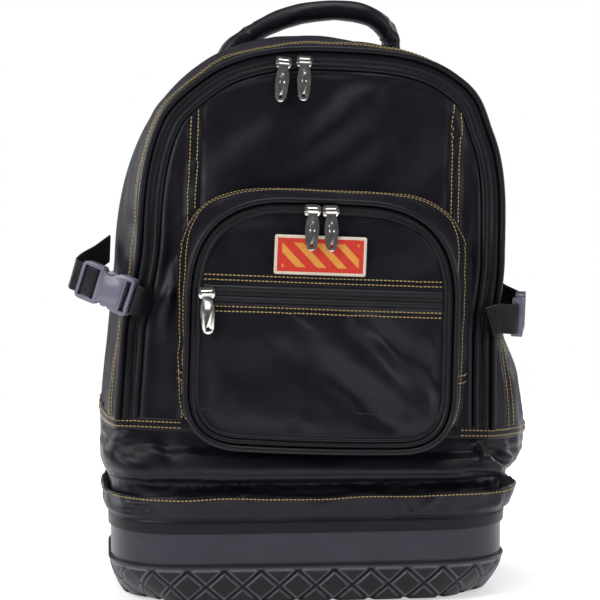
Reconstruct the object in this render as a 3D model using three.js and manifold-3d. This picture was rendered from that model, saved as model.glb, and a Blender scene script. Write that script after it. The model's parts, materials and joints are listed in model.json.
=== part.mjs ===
// A soft tool backpack on a moulded tread base: base tub, skirt, sagging lower band, side and top wall,
// arched front with its zip, front pocket with two zips, side straps with fastened buckles, carrying
// handle, padded back panel and shoulder straps. Five zip pulls hang on their sliders and swing.
// Millimetres, +Z up, the front faces -Y. The origin is the centre of the base, on the ground.

import * as THREE from 'three';
import Module from 'manifold-3d';

const wasm = await Module();
wasm.setup();

// Gaps and walls
const FIT = 0.3; // between two pieces that meet
const CLOTH = 2; // wall of the cloth
const PAD = 12; // padded back panel
const STRIP_GAP = 0.8; // between a strip and the coarser face that it follows
const PIPING_RADIUS = 2.4;
const PIPING_SIDES = 5;

// Base tub
const TUB_X = -4; // the base stands a little to the left of the middle
const TUB_HALF_WIDTH = 168.5;
const TUB_HALF_DEPTH = 98;
const TUB_CORNER = 66;
const TUB_HEIGHT = 74;
const TUB_WALL = 3;
const TUB_BOW = 5; // how far the front and back bulge
const TUB_FOOT_INSET = 20; // the rounded edge round the foot
const TUB_TAPER = 13; // how much narrower the tread is at its foot
const CORNER_TUCK = 14; // how much further the foot's corners draw in
const TREAD_BOTTOM = 1.5;
const TREAD_HEIGHT = 28.5;
const TREAD_DEPTH = 2.6;
const TREAD_GROOVE = 3.2; // half width of a groove
const TREAD_BLOCKS = 32;
const LEDGE = 1.6; // rim above the tread

// Skirt and lower band
const SKIRT_LAP = 13; // how far it hangs over the tub
const SKIRT_HEIGHT = 32;
const SKIRT_FLARE = 8;
const BAND_HEIGHT = 66;
const BAND_ROLL = 17; // how far the sagging roll stands out at the front

// Front arch, where the side wall meets the front
const FRONT_HALF_WIDTH = 152;
const FRONT_SPREAD = 5; // wider at its foot
const FRONT_SHIFT = 9; // how far its foot lies to the left
const FRONT_STRAIGHT = 160;
const FRONT_RISE = 160;
const FRONT_ROUND = 2.85;
const FRONT_FOOT_Y = -84;
const FRONT_TOP_Y = -50;
const CROWN = 9; // how far the stuffed front swells

// Back arch, where the side wall meets the back panel
const BACK_HALF_WIDTH = 171;
const BACK_SPREAD = 8;
const BACK_STRAIGHT = 130;
const BACK_RISE = 209;
const BACK_ROUND = 2.3;
const BACK_Y = 90;
const SIDE_SWELL = 22; // how far the side wall swells between its edges, where it swells most
const SLOUCH_DEG = 2.3; // the filled upper body leans to its left

// Main zip band, inside the front arch
const ZIP_BAND = 17;

// Front pocket
const POCKET_X = 3;
const POCKET_HALF_WIDTH = 128;
const POCKET_FOOT_HALF_WIDTH = 118;
const POCKET_LIFT = 4; // its foot above the seam
const POCKET_HEIGHT = 199;
const POCKET_TOP_ROUND = 78;
const POCKET_FOOT_ROUND = 30;
const POCKET_DEPTH = 34;
const POCKET_TAPER = 18; // how much narrower its face is
const POCKET_DROP = 11; // top of its face below the top of its side
const POCKET_TURN = -6; // its face lies to the left of its foot
const POCKET_SAG = 9; // how far its face hangs below its foot
const POCKET_CROWN = 6;
const FACE_ZIP_HEIGHT = 122; // above the foot of the pocket's face
const FACE_ZIP_END = 1.5; // short of the pocket's zip band at each end
const FACE_ZIP_HALF_WIDTH = 5.5;
const LABEL_X = -7;
const LABEL_WIDTH = 75;
const LABEL_HEIGHT = 32;
const LABEL_LIFT = 33; // above the face zip
const LABEL_THICK = 1.6;

// Webbing and buckles
const WEB_WIDTH = 25;
const WEB_THICK = 2;
const BUCKLE_LENGTH = 50;
const BUCKLE_WIDTH = 32;
const BUCKLE_THICK = 9;
const BUCKLE_WALL = 2;
const BUCKLE_SLOT = 3;
const SIDE_STRAP_HEIGHT = 101; // above the seam

// Carrying handle
const HANDLE_RADIUS = 9;
const HANDLE_RISE = 25; // middle of the grip above the top of the back
const HANDLE_LAP = 33; // feet below the top of the back
const HANDLE_SINK = 1.6; // how far its feet press into the soft back panel
const HANDLE_LEFT = -80;
const HANDLE_RIGHT = 75;

// Shoulder straps
const STRAP_WIDTH = 62;
const STRAP_THICK = 11;
const STRAP_SPACING = 66; // from the middle to each strap at its top
const STRAP_DROP = 47; // its top below the top of the back
const STRAP_LENGTH = 245;
const STRAP_STAND_OFF = 28;
const LOCK_WIDTH = 34;
const LOCK_HEIGHT = 24;
const LOCK_THICK = 6;

// Zip sliders and pulls
const SLIDER_LENGTH = 13;
const SLIDER_HEIGHT = 9;
const SLIDER_BASE = 2;
const BRIDGE_GAP = 3.6; // from the slider's base to the middle of its bar
const BAR = 1.8;
const BAR_CLEAR = 0.5;
const PULL_LENGTH = 33;
const PULL_WIDTH = 11.5;
const PULL_THICK = 1.7;
const PULL_KNUCKLE_WALL = 1.2;
const PULL_HOLE = 1.4;

const TAU = Math.PI * 2;
const lerp = (a, b, t) => a + (b - a) * t;
const clamp01 = (t) => Math.min(1, Math.max(0, t));
const smooth = (t) => clamp01(t) ** 2 * (3 - 2 * clamp01(t));
const vec = (x, y, z) => new THREE.Vector3(x, y, z);

const SEAM = TUB_HEIGHT + BAND_HEIGHT;
const SKIRT_TOP = TUB_HEIGHT - SKIRT_LAP + SKIRT_HEIGHT;
const FRONT_TOP = SEAM + FRONT_STRAIGHT + FRONT_RISE;
const BACK_TOP = SEAM + BACK_STRAIGHT + BACK_RISE;

const FRONT_SLOPE = (FRONT_TOP_Y - FRONT_FOOT_Y) / (FRONT_TOP - SEAM);

// Soft dents and swellings of the front: places and sizes are shares of the front's half width and
// height, and the depth is a share of its crown.
const FRONT_FOLDS = [
  { x: -0.10, z: 0.80, wide: 0.75, tall: 0.075, turn: 0.55, deep: 0.34 },
  { x: 0.20, z: 0.90, wide: 0.60, tall: 0.060, turn: 0.45, deep: -0.30 },
  { x: -0.82, z: 0.62, wide: 0.16, tall: 0.140, turn: 0.0, deep: 0.40 },
  { x: 0.83, z: 0.66, wide: 0.14, tall: 0.120, turn: 0.0, deep: 0.35 },
];

// Folds of the pocket's face, as shares of its half width, its height and its crown.
const POCKET_FOLDS = [
  { x: 0.55, z: 0.38, wide: 0.55, tall: 0.060, turn: -0.75, deep: 0.75 },
  { x: 0.10, z: 0.33, wide: 0.60, tall: 0.070, turn: -0.55, deep: 0.40 },
  { x: 0.72, z: 0.24, wide: 0.35, tall: 0.050, turn: -0.40, deep: -0.45 },
];

// The lower band from its foot to the seam: rise is a share of its height, out a share of its roll.
const BAND_PROFILE = [
  { rise: 0.006, out: 0.0 },
  { rise: 0.36, out: 0.02 },
  { rise: 0.47, out: 0.62 },
  { rise: 0.60, out: 0.98 },
  { rise: 0.74, out: 0.80 },
  { rise: 0.86, out: 0.28 },
  { rise: 0.995, out: 0.0 },
];

// How the front arch's edges stray from an even arch: up is a share of its height, and aside a share of
// FRONT_SHIFT, to the right.
const ARCH_STRAY = [
  { up: 0.0, aside: -1.0 },
  { up: 0.24, aside: -0.95 },
  { up: 0.48, aside: -0.08 },
  { up: 0.8, aside: 0.05 },
  { up: 0.93, aside: 0.9 },
  { up: 1.0, aside: 1.3 },
];

// The side wall's swelling: across it from front to back, and up its left and its right side.
const SWELL_PROFILE = [
  { back: 0.0, out: 0.0 },
  { back: 0.07, out: 0.42 },
  { back: 0.17, out: 0.82 },
  { back: 0.36, out: 1.0 },
  { back: 0.7, out: 0.72 },
  { back: 1.0, out: 0.0 },
];
const SWELL_TABLE = [
  { up: 0.0, left: 0.28, right: 1.0 },
  { up: 0.14, left: 0.25, right: 0.86 },
  { up: 0.28, left: 0.2, right: 0.4 },
  { up: 0.42, left: 0.14, right: 0.16 },
  { up: 1.0, left: 0.14, right: 0.16 },
];

// How the roll of the lower band varies round the bag: along runs from the left end of the front (0)
// to its right end (1), and share is what is left of the roll there.
const ROLL_TABLE = [
  { along: -0.5, share: 0.0 },
  { along: -0.2, share: 0.3 },
  { along: 0.0, share: 0.55 },
  { along: 0.25, share: 0.9 },
  { along: 0.75, share: 1.0 },
  { along: 0.93, share: 0.95 },
  { along: 1.02, share: 0.45 },
  { along: 1.2, share: 0.3 },
  { along: 1.5, share: 0.0 },
];

function foldSum(folds, x, z) {
  let sum = 0;
  for (const f of folds) {
    const dx = x - f.x;
    const dz = z - f.z;
    const along = (dx * Math.cos(f.turn) + dz * Math.sin(f.turn)) / f.wide;
    const across = (dz * Math.cos(f.turn) - dx * Math.sin(f.turn)) / f.tall;
    sum += f.deep * Math.exp(-along * along - across * across);
  }
  return sum;
}

function tableValue(table, key, value, at) {
  const last = table[table.length - 1];
  if (at <= table[0][key]) return table[0][value];
  if (at >= last[key]) return last[value];
  const i = table.findIndex((row) => row[key] > at);
  const t = (at - table[i - 1][key]) / (table[i][key] - table[i - 1][key]);
  return lerp(table[i - 1][value], table[i][value], smooth(t));
}

// The lean of everything above the skirt: the band turns little by little, the rest turns as one.
function slouch(p) {
  const angle = THREE.MathUtils.degToRad(SLOUCH_DEG) * smooth((p.z - SKIRT_TOP) / (SEAM - SKIRT_TOP));
  const dz = p.z - SEAM;
  const x = p.x * Math.cos(angle) + dz * Math.sin(angle);
  const z = SEAM - p.x * Math.sin(angle) + dz * Math.cos(angle);
  return vec(x, p.y, z);
}

// The front surface of the bag, before it leans.
function frontY(x, z) {
  const up = (z - SEAM) / (FRONT_TOP - SEAM);
  const across = x / FRONT_HALF_WIDTH;
  const plane = lerp(FRONT_FOOT_Y, FRONT_TOP_Y, up);
  const swell = clamp01(1 - across * across) * (1 - 0.55 * clamp01(up) ** 3);
  const folds = clamp01(1 - Math.abs(across) ** 6) * clamp01(8 * (1 - up)) * clamp01(6 * up);
  return plane - CROWN * (swell - foldSum(FRONT_FOLDS, across, up) * folds);
}

// Meshes

function geometryOf(points, faces) {
  let volume = 0;
  for (const [a, b, c] of faces) {
    volume += points[a].dot(points[b].clone().cross(points[c]));
  }
  const index = volume > 0 ? faces.flat() : faces.flatMap(([a, b, c]) => [a, c, b]);
  const geometry = new THREE.BufferGeometry();
  geometry.setAttribute('position', new THREE.Float32BufferAttribute(points.flatMap((p) => p.toArray()), 3));
  geometry.setIndex(index);
  return geometry;
}

function quad(faces, a, b, c, d) {
  faces.push([a, b, c], [a, c, d]);
}

// A wall between two grids of points of the same size. A closed one runs round and joins up.
function wall(outer, inner, closed) {
  const rows = outer.length;
  const columns = outer[0].length;
  const points = [...outer.flat(), ...inner.flat()];
  const faces = [];
  const at = (side, i, j) => side * rows * columns + (i % rows) * columns + j;
  const steps = closed ? rows : rows - 1;
  for (let i = 0; i < steps; i++) {
    for (let j = 0; j + 1 < columns; j++) {
      quad(faces, at(0, i, j), at(0, i + 1, j), at(0, i + 1, j + 1), at(0, i, j + 1));
      quad(faces, at(1, i, j), at(1, i, j + 1), at(1, i + 1, j + 1), at(1, i + 1, j));
    }
    const end = columns - 1;
    quad(faces, at(0, i, 0), at(1, i, 0), at(1, i + 1, 0), at(0, i + 1, 0));
    quad(faces, at(0, i, end), at(0, i + 1, end), at(1, i + 1, end), at(1, i, end));
  }
  if (!closed) {
    for (let j = 0; j + 1 < columns; j++) {
      quad(faces, at(0, 0, j), at(0, 0, j + 1), at(1, 0, j + 1), at(1, 0, j));
      quad(faces, at(0, steps, j), at(1, steps, j), at(1, steps, j + 1), at(0, steps, j + 1));
    }
  }
  return geometryOf(points, faces);
}

// A bar along a path. The section is a ring of [side, out] pairs, and out points along face(i).
function sweep(path, section, face, closed, scale = () => 1) {
  const n = path.length;
  const rings = path.map((p, i) => {
    const before = closed ? path[(i + n - 1) % n] : path[Math.max(0, i - 1)];
    const after = closed ? path[(i + 1) % n] : path[Math.min(n - 1, i + 1)];
    const along = after.clone().sub(before).normalize();
    const out = face(i).clone();
    out.addScaledVector(along, -out.dot(along)).normalize();
    const side = along.clone().cross(out);
    const k = scale(i / (n - 1));
    return section.map(([a, b]) => p.clone().addScaledVector(side, a * k).addScaledVector(out, b * k));
  });
  const sides = section.length;
  const points = rings.flat();
  const faces = [];
  const at = (i, j) => (i % n) * sides + (j % sides);
  for (let i = 0; i < (closed ? n : n - 1); i++) {
    for (let j = 0; j < sides; j++) {
      quad(faces, at(i, j), at(i + 1, j), at(i + 1, j + 1), at(i, j + 1));
    }
  }
  if (!closed) {
    for (let j = 1; j + 1 < sides; j++) {
      faces.push([at(0, 0), at(0, j), at(0, j + 1)], [at(n - 1, 0), at(n - 1, j + 1), at(n - 1, j)]);
    }
  }
  return geometryOf(points, faces);
}

function roundSection(radius, sides, flat = 1) {
  const section = [];
  for (let i = 0; i < sides; i++) {
    const a = (TAU * (i + 0.5)) / sides;
    section.push([radius * Math.cos(a), radius * flat * Math.sin(a)]);
  }
  return section;
}

function flatSection(width, thick) {
  return [[-width / 2, -thick / 2], [width / 2, -thick / 2], [width / 2, thick / 2], [-width / 2, thick / 2]];
}

function padSection(width, thick) {
  const w = width / 2;
  const t = thick / 2;
  return [[-w, -t * 0.4], [-w * 0.86, -t], [w * 0.86, -t], [w, -t * 0.4],
    [w, t * 0.4], [w * 0.86, t], [-w * 0.86, t], [-w, t * 0.4]];
}

// A rounded four-sided ring as [across, up] pairs. Corners are curves of the same count of points, so
// that two rings can be joined point by point.
function ring(spec, edgeSteps = 6, cornerSteps = 4) {
  const { low, high, lowHalf, highHalf, lowRound, highRound } = spec;
  const corners = [
    { at: [-lowHalf, low], round: lowRound },
    { at: [lowHalf, low], round: lowRound },
    { at: [highHalf, high], round: highRound },
    { at: [-highHalf, high], round: highRound },
  ];
  const points = [];
  corners.forEach((corner, k) => {
    const next = corners[(k + 1) % 4];
    const last = corners[(k + 3) % 4];
    const from = towards(corner.at, last.at, corner.round);
    const to = towards(corner.at, next.at, corner.round);
    for (let i = 0; i < cornerSteps; i++) points.push(bend(from, corner.at, to, i / cornerSteps));
    const end = towards(next.at, corner.at, next.round);
    for (let i = 0; i < edgeSteps; i++) {
      points.push([lerp(to[0], end[0], i / edgeSteps), lerp(to[1], end[1], i / edgeSteps)]);
    }
  });
  return points.map(([x, v]) => {
    const bulge = spec.bow * clamp01(1 - (x / lowHalf) ** 2);
    const middle = (low + high) / 2;
    const share = (v - middle) / (high - middle);
    const bow = share < 0 ? -bulge * share : bulge * share * (spec.highBow ?? 1);
    return [x, v + (share < 0 ? -bow : bow)];
  });
}

function towards(from, to, distance) {
  const length = Math.hypot(to[0] - from[0], to[1] - from[1]);
  const t = Math.min(0.5, distance / length);
  return [lerp(from[0], to[0], t), lerp(from[1], to[1], t)];
}

function bend(a, b, c, t) {
  return [0, 1].map((k) => lerp(lerp(a[k], b[k], t), lerp(b[k], c[k], t), t));
}

// An arch outline from its left foot over the top to its right foot, evenly spaced. Point(t, inset)
// gives [x, z] that far inside it.
function archOutline(half, spread, straight, rise, round, shift) {
  const stray = (z) => shift * tableValue(ARCH_STRAY, 'up', 'aside', (z - SEAM) / (straight + rise));
  const dense = [];
  const footSteps = 40;
  const archSteps = 160;
  for (let i = 0; i < footSteps; i++) {
    dense.push([-lerp(half + spread, half, i / footSteps), SEAM + (straight * i) / footSteps]);
  }
  for (let i = 0; i <= archSteps; i++) {
    const a = (Math.PI * i) / archSteps;
    const x = -Math.sign(Math.cos(a)) * half * Math.abs(Math.cos(a)) ** (2 / round);
    dense.push([x, SEAM + straight + rise * Math.sin(a) ** (2 / round)]);
  }
  for (let i = footSteps - 1; i >= 0; i--) dense.push([-dense[i][0], dense[i][1]]);
  for (const p of dense) p[0] += stray(p[1]);
  const reach = [0];
  for (let i = 1; i < dense.length; i++) {
    reach.push(reach[i - 1] + Math.hypot(dense[i][0] - dense[i - 1][0], dense[i][1] - dense[i - 1][1]));
  }
  const total = reach[reach.length - 1];
  const place = (t) => {
    const want = clamp01(t) * total;
    let i = reach.findIndex((r) => r >= want);
    i = Math.max(1, i);
    const share = (want - reach[i - 1]) / (reach[i] - reach[i - 1] || 1);
    return [lerp(dense[i - 1][0], dense[i][0], share), lerp(dense[i - 1][1], dense[i][1], share)];
  };
  const slope = 0.012;
  return (t, inset = 0) => {
    const [x, z] = place(t);
    const before = place(t - slope);
    const after = place(t + slope);
    const length = Math.hypot(after[0] - before[0], after[1] - before[1]);
    const nx = (after[1] - before[1]) / length;
    const nz = -(after[0] - before[0]) / length;
    return [x + nx * inset, Math.max(SEAM, z + nz * inset)];
  };
}

// How far the side wall swells: back is its share of the way back, up the height's share, x the side.
function sideSwell(back, up, x) {
  const side = smooth((x / BACK_HALF_WIDTH + 1) / 2);
  const left = tableValue(SWELL_TABLE, 'up', 'left', up);
  const right = tableValue(SWELL_TABLE, 'up', 'right', up);
  return SIDE_SWELL * tableValue(SWELL_PROFILE, 'back', 'out', back) * lerp(left, right, side);
}

const frontArch = archOutline(
  FRONT_HALF_WIDTH, FRONT_SPREAD, FRONT_STRAIGHT, FRONT_RISE, FRONT_ROUND, FRONT_SHIFT,
);
const backArch = archOutline(BACK_HALF_WIDTH, BACK_SPREAD, BACK_STRAIGHT, BACK_RISE, BACK_ROUND, 0);

function range(count) {
  return Array.from({ length: count + 1 }, (_, i) => i / count);
}

// Solids joined and cut

function solidOf(geometry) {
  const indexed = geometry.index ? geometry.clone() : weld(geometry);
  return new wasm.Manifold(new wasm.Mesh({
    numProp: 3,
    vertProperties: new Float32Array(indexed.getAttribute('position').array),
    triVerts: new Uint32Array(indexed.index.array),
  }));
}

function weld(geometry) {
  const position = geometry.getAttribute('position');
  const seen = new Map();
  const points = [];
  const index = [];
  for (let i = 0; i < position.count; i++) {
    const p = vec(position.getX(i), position.getY(i), position.getZ(i));
    const key = p.toArray().map((v) => Math.round(v * 1e4)).join();
    if (!seen.has(key)) {
      seen.set(key, points.length);
      points.push(p);
    }
    index.push(seen.get(key));
  }
  const faces = [];
  for (let i = 0; i < index.length; i += 3) {
    const [a, b, c] = index.slice(i, i + 3);
    if (a !== b && b !== c && a !== c) faces.push([a, b, c]);
  }
  return geometryOf(points, faces);
}

function geometryFrom(solid) {
  const { vertProperties, triVerts } = solid.getMesh();
  const geometry = new THREE.BufferGeometry();
  geometry.setAttribute('position', new THREE.BufferAttribute(new Float32Array(vertProperties), 3));
  geometry.setIndex(new THREE.BufferAttribute(new Uint32Array(triVerts), 1));
  return geometry;
}

function box(x0, x1, y0, y1, z0, z1) {
  const geometry = new THREE.BoxGeometry(x1 - x0, y1 - y0, z1 - z0);
  geometry.translate((x0 + x1) / 2, (y0 + y1) / 2, (z0 + z1) / 2);
  return solidOf(weld(geometry.toNonIndexed()));
}

function extruded(shape, depth, curveSegments) {
  const geometry = new THREE.ExtrudeGeometry(shape, { depth, bevelEnabled: false, curveSegments });
  return weld(geometry.index ? geometry.toNonIndexed() : geometry);
}

// Materials

const cloth = new THREE.MeshStandardMaterial({ color: 0x16151c, roughness: 0.7 });
const trim = new THREE.MeshStandardMaterial({ color: 0x0d0d12, roughness: 0.6 });
const mesh3d = new THREE.MeshStandardMaterial({ color: 0x202027, roughness: 0.9 });
const plastic = new THREE.MeshStandardMaterial({ color: 0x3a3a40, roughness: 0.5 });
const buckleBlack = new THREE.MeshStandardMaterial({ color: 0x101014, roughness: 0.35 });
const metal = new THREE.MeshStandardMaterial({ color: 0xc9c5be, roughness: 0.2, metalness: 1 });
const patchRed = new THREE.MeshStandardMaterial({ color: 0xd8321c, roughness: 0.6 });

const pack = new THREE.Group();

function add(name, geometry, material, leans = true) {
  const placed = geometry.clone();
  if (leans) {
    const position = placed.getAttribute('position');
    for (let i = 0; i < position.count; i++) {
      const p = slouch(vec(position.getX(i), position.getY(i), position.getZ(i)));
      position.setXYZ(i, p.x, p.y, p.z);
    }
  }
  const mesh = new THREE.Mesh(placed, material);
  mesh.name = name;
  pack.add(mesh);
}

// Base tub: a hollow moulded shell. Its foot is rounded, and its lower wall carries a tread of blocks
// between crossing grooves.

function tubPlan(inset, edgeSteps, cornerSteps) {
  return ring({
    low: -TUB_HALF_DEPTH + inset, high: TUB_HALF_DEPTH - inset,
    lowHalf: TUB_HALF_WIDTH - inset, highHalf: TUB_HALF_WIDTH - inset,
    lowRound: TUB_CORNER, highRound: TUB_CORNER, bow: TUB_BOW,
  }, edgeSteps, cornerSteps);
}

function evenly(loop, count) {
  const reach = [0];
  for (let i = 1; i <= loop.length; i++) {
    const a = loop[i - 1];
    const b = loop[i % loop.length];
    reach.push(reach[i - 1] + Math.hypot(b[0] - a[0], b[1] - a[1]));
  }
  const total = reach[loop.length];
  return Array.from({ length: count }, (_, k) => {
    const want = (total * k) / count;
    const i = Math.max(1, reach.findIndex((r) => r >= want));
    const share = (want - reach[i - 1]) / (reach[i] - reach[i - 1]);
    const a = loop[i - 1];
    const b = loop[i % loop.length];
    return [lerp(a[0], b[0], share), lerp(a[1], b[1], share)];
  });
}

// Moves a loop outward, and less so by a tuck where it turns its corners.
function offsetLoop(loop, distance, tuck = 0) {
  const n = loop.length;
  return loop.map(([x, y], i) => {
    const before = loop[(i + n - 1) % n];
    const after = loop[(i + 1) % n];
    const dx = after[0] - before[0];
    const dy = after[1] - before[1];
    const length = Math.hypot(dx, dy);
    const far = distance - tuck * Math.abs((2 * dx * dy) / length ** 2);
    return [x + (dy / length) * far, y - (dx / length) * far];
  });
}

// The tub's outline in half pitches of the tread, and in whole ones that start half a pitch on.
const TREAD_LOOP = evenly(tubPlan(0, 12, 10), TREAD_BLOCKS * 2).map(([x, y]) => [x + TUB_X, y]);
const TREAD_TOP = TREAD_BOTTOM + TREAD_HEIGHT;
const towardFoot = (z) => clamp01((TREAD_TOP - z) / TREAD_TOP) ** 1.6;
const treadRing = (inset, z = TUB_HEIGHT) => offsetLoop(TREAD_LOOP, -inset, CORNER_TUCK * towardFoot(z));
const tubRing = (inset, z = TUB_HEIGHT) => treadRing(inset, z).filter((_, i) => i % 2 === 1);

function baseTub() {
  const halves = TREAD_BLOCKS * 2;
  const treadMiddle = TREAD_BOTTOM + TREAD_HEIGHT / 2;
  const points = [];
  const faces = [];
  const keep = (p) => points.push(p) - 1;
  // A point of the tread: along in half pitches, height, and how deep it lies below the blocks.
  const taper = (z) => TUB_TAPER * towardFoot(z);
  const treadAt = (along, z, deep) => {
    const loop = treadRing(deep + taper(z), z);
    const i = Math.floor(along);
    const a = loop[((i % halves) + halves) % halves];
    const b = loop[(((i + 1) % halves) + halves) % halves];
    return vec(lerp(a[0], b[0], along - i), lerp(a[1], b[1], along - i), z);
  };
  const low = [];
  const middle = [];
  const high = [];
  for (let j = 0; j < halves; j += 2) {
    low.push(keep(treadAt(j + 1, TREAD_BOTTOM, TREAD_DEPTH)));
    middle.push(keep(treadAt(j, treadMiddle, TREAD_DEPTH)));
    high.push(keep(treadAt(j + 1, TREAD_TOP, TREAD_DEPTH)));
  }
  const wrap = (i) => (i + TREAD_BLOCKS) % TREAD_BLOCKS;
  // One raised block over the corners given as [along, height] and their indices below.
  const block = (corners, below) => {
    const cx = corners.reduce((s, c) => s + c[0], 0) / corners.length;
    const cz = corners.reduce((s, c) => s + c[1], 0) / corners.length;
    const pitch = Math.hypot(TREAD_LOOP[1][0] - TREAD_LOOP[0][0], TREAD_LOOP[1][1] - TREAD_LOOP[0][1]);
    const top = corners.map(([along, z]) => {
      const reachBack = Math.hypot((along - cx) * pitch, z - cz);
      const t = (1.6 * TREAD_GROOVE) / reachBack;
      return keep(treadAt(lerp(along, cx, t), lerp(z, cz, t), 0));
    });
    for (let k = 0; k < corners.length; k++) {
      const n = (k + 1) % corners.length;
      quad(faces, below[k], below[n], top[n], top[k]);
    }
    for (let k = 1; k + 1 < corners.length; k++) faces.push([top[0], top[k], top[k + 1]]);
  };
  for (let b = 0; b < TREAD_BLOCKS; b++) {
    const j = 2 * b + 1;
    const right = wrap(b + 1);
    block([[j - 1, treadMiddle], [j, TREAD_BOTTOM], [j + 1, treadMiddle], [j, TREAD_TOP]],
      [middle[b], low[b], middle[right], high[b]]);
    block([[j + 1, treadMiddle], [j, TREAD_BOTTOM], [j + 2, TREAD_BOTTOM]],
      [middle[right], low[b], low[right]]);
    block([[j + 1, treadMiddle], [j + 2, TREAD_TOP], [j, TREAD_TOP]],
      [middle[right], high[right], high[b]]);
  }
  const circle = (inset, z) => tubRing(inset, z).map(([x, y]) => keep(vec(x, y, z)));
  const join = (a, b) => {
    for (let i = 0; i < TREAD_BLOCKS; i++) quad(faces, a[i], a[wrap(i + 1)], b[wrap(i + 1)], b[i]);
  };
  const ledgeTop = TREAD_TOP + 2 * LEDGE;
  const outside = [
    high,
    circle(-LEDGE / 2, TREAD_TOP + LEDGE * 0.5),
    circle(-LEDGE / 2, ledgeTop),
    circle(LEDGE, ledgeTop + LEDGE),
    circle(LEDGE, TUB_HEIGHT),
    circle(LEDGE + TUB_WALL, TUB_HEIGHT),
    circle(TUB_TAPER / 4 + TREAD_DEPTH + TUB_WALL, treadMiddle),
    circle(TUB_FOOT_INSET + TUB_WALL, TUB_WALL),
  ];
  for (let i = 0; i + 1 < outside.length; i++) join(outside[i], outside[i + 1]);
  const edge = lerp(TUB_FOOT_INSET, taper(TREAD_BOTTOM), 0.55);
  const foot = [circle(TUB_FOOT_INSET, 0), circle(edge, TREAD_BOTTOM * 0.3), low];
  join(foot[0], foot[1]);
  join(foot[1], foot[2]);
  const floor = keep(vec(TUB_X, 0, TUB_WALL));
  const sole = keep(vec(TUB_X, 0, 0));
  for (let i = 0; i < TREAD_BLOCKS; i++) {
    const inner = outside[outside.length - 1];
    faces.push([inner[i], inner[wrap(i + 1)], floor]);
    faces.push([foot[0][wrap(i + 1)], foot[0][i], sole]);
  }
  return geometryOf(points, faces);
}

add('base_tub', baseTub(), plastic, false);

// Skirt and lower band: hoops of cloth that stand on the tub.

// Levels hold { loop, z }. The wall lies inside each loop.
function hoop(levels, thick) {
  const grid = (shift) => {
    const loops = levels.map((level) => offsetLoop(level.loop, shift));
    return loops[0].map((_, i) => levels.map((level, j) => vec(loops[j][i][0], loops[j][i][1], level.z)));
  };
  return wall(grid(0), grid(-thick), true);
}

// The skirt's top stands nearer to the middle than the tub.
const ahead = (loop, share) => loop.map(([x, y]) => [x - TUB_X * share, y]);

function skirt() {
  const foot = LEDGE - FIT - CLOTH;
  const bottom = TUB_HEIGHT - SKIRT_LAP;
  const levels = [
    { loop: tubRing(foot), z: bottom },
    { loop: ahead(tubRing(foot - SKIRT_FLARE * 0.42), 0.35), z: lerp(bottom, SKIRT_TOP, 0.45) },
    { loop: ahead(tubRing(foot - SKIRT_FLARE), 0.75), z: SKIRT_TOP - CLOTH },
    { loop: ahead(tubRing(foot - SKIRT_FLARE + CLOTH / 2), 0.75), z: SKIRT_TOP },
  ];
  return hoop(levels, CLOTH);
}

// The seam's outline: as the arches stand on it.
const SEAM_RING = {
  low: FRONT_FOOT_Y, high: BACK_Y, lowHalf: FRONT_HALF_WIDTH + FRONT_SPREAD,
  highHalf: BACK_HALF_WIDTH + BACK_SPREAD, lowRound: 10, highRound: 10, bow: CROWN, highBow: 0,
};

function lowerBand() {
  const inset = LEDGE + FIT;
  const foot = ring({
    low: -TUB_HALF_DEPTH + inset, high: BACK_Y,
    lowHalf: TUB_HALF_WIDTH - inset, highHalf: TUB_HALF_WIDTH - inset,
    lowRound: TUB_CORNER, highRound: TUB_CORNER, bow: TUB_BOW, highBow: 0,
  }, 7, 4).map(([x, y]) => [x + TUB_X, y]);
  const seam = ring(SEAM_RING, 7, 4).map(([x, y]) => {
    const back = clamp01((y - SEAM_RING.low) / (SEAM_RING.high - SEAM_RING.low));
    return [x - FRONT_SHIFT * (1 - back) + Math.sign(x) * sideSwell(back, 0, x), y];
  });
  const levels = BAND_PROFILE.map(({ rise, out }) => {
    const plain = foot.map((p, i) => [0, 1].map((k) => lerp(p[k], seam[i][k], smooth(rise))));
    const far = offsetLoop(plain, BAND_ROLL * out);
    const loop = plain.map((p, i) => {
      const back = clamp01((p[1] - SEAM_RING.low) / (SEAM_RING.high - SEAM_RING.low));
      const along = lerp(Math.abs(p[0]) / (2 * FRONT_HALF_WIDTH), 1.1, back);
      const share = tableValue(ROLL_TABLE, 'along', 'share', 0.5 + Math.sign(p[0]) * along);
      return [0, 1].map((k) => lerp(p[k], far[i][k], share));
    });
    return { loop, z: TUB_HEIGHT + BAND_HEIGHT * rise };
  });
  return hoop(levels, CLOTH);
}

add('skirt', skirt(), cloth);
add('lower_band', lowerBand(), cloth);

// Side and top wall between the two arches

// Steps of the panels' grids up each side and across the top, which the arches share.
const PANEL_UP = 12;
const PANEL_ACROSS = 11;
const ARCH_STEPS = 2 * PANEL_UP + PANEL_ACROSS;
const SHOULDER = PANEL_UP / ARCH_STEPS;

function sideWall() {
  const grid = (inset) => range(ARCH_STEPS).map((t) => SWELL_PROFILE.map(({ back: s }) => {
    const [fx, fz] = frontArch(t, inset);
    const [bx, bz] = backArch(t, inset);
    const swell = sideSwell(s, (bz - SEAM) / (BACK_TOP - SEAM), bx);
    const [nx, nz] = archNormal(t);
    const z = lerp(fz, bz, s) + nz * swell;
    return vec(lerp(fx, bx, s) + nx * swell, lerp(frontY(fx, fz), BACK_Y, s), Math.max(SEAM, z));
  }));
  return wall(grid(0), grid(CLOTH), false);
}

// Outward direction of the arches at t, as [across, up].
function archNormal(t) {
  const [x, z] = frontArch(t, 0);
  const [ix, iz] = frontArch(t, 1);
  const length = Math.hypot(x - ix, z - iz);
  return t === 0 || t === 1 ? [Math.sign(x), 0] : [(x - ix) / length, (z - iz) / length];
}

add('side_wall', sideWall(), cloth);

// Front: piping, zip band and panel

const FORWARD = vec(0, -1, 0);

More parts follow.
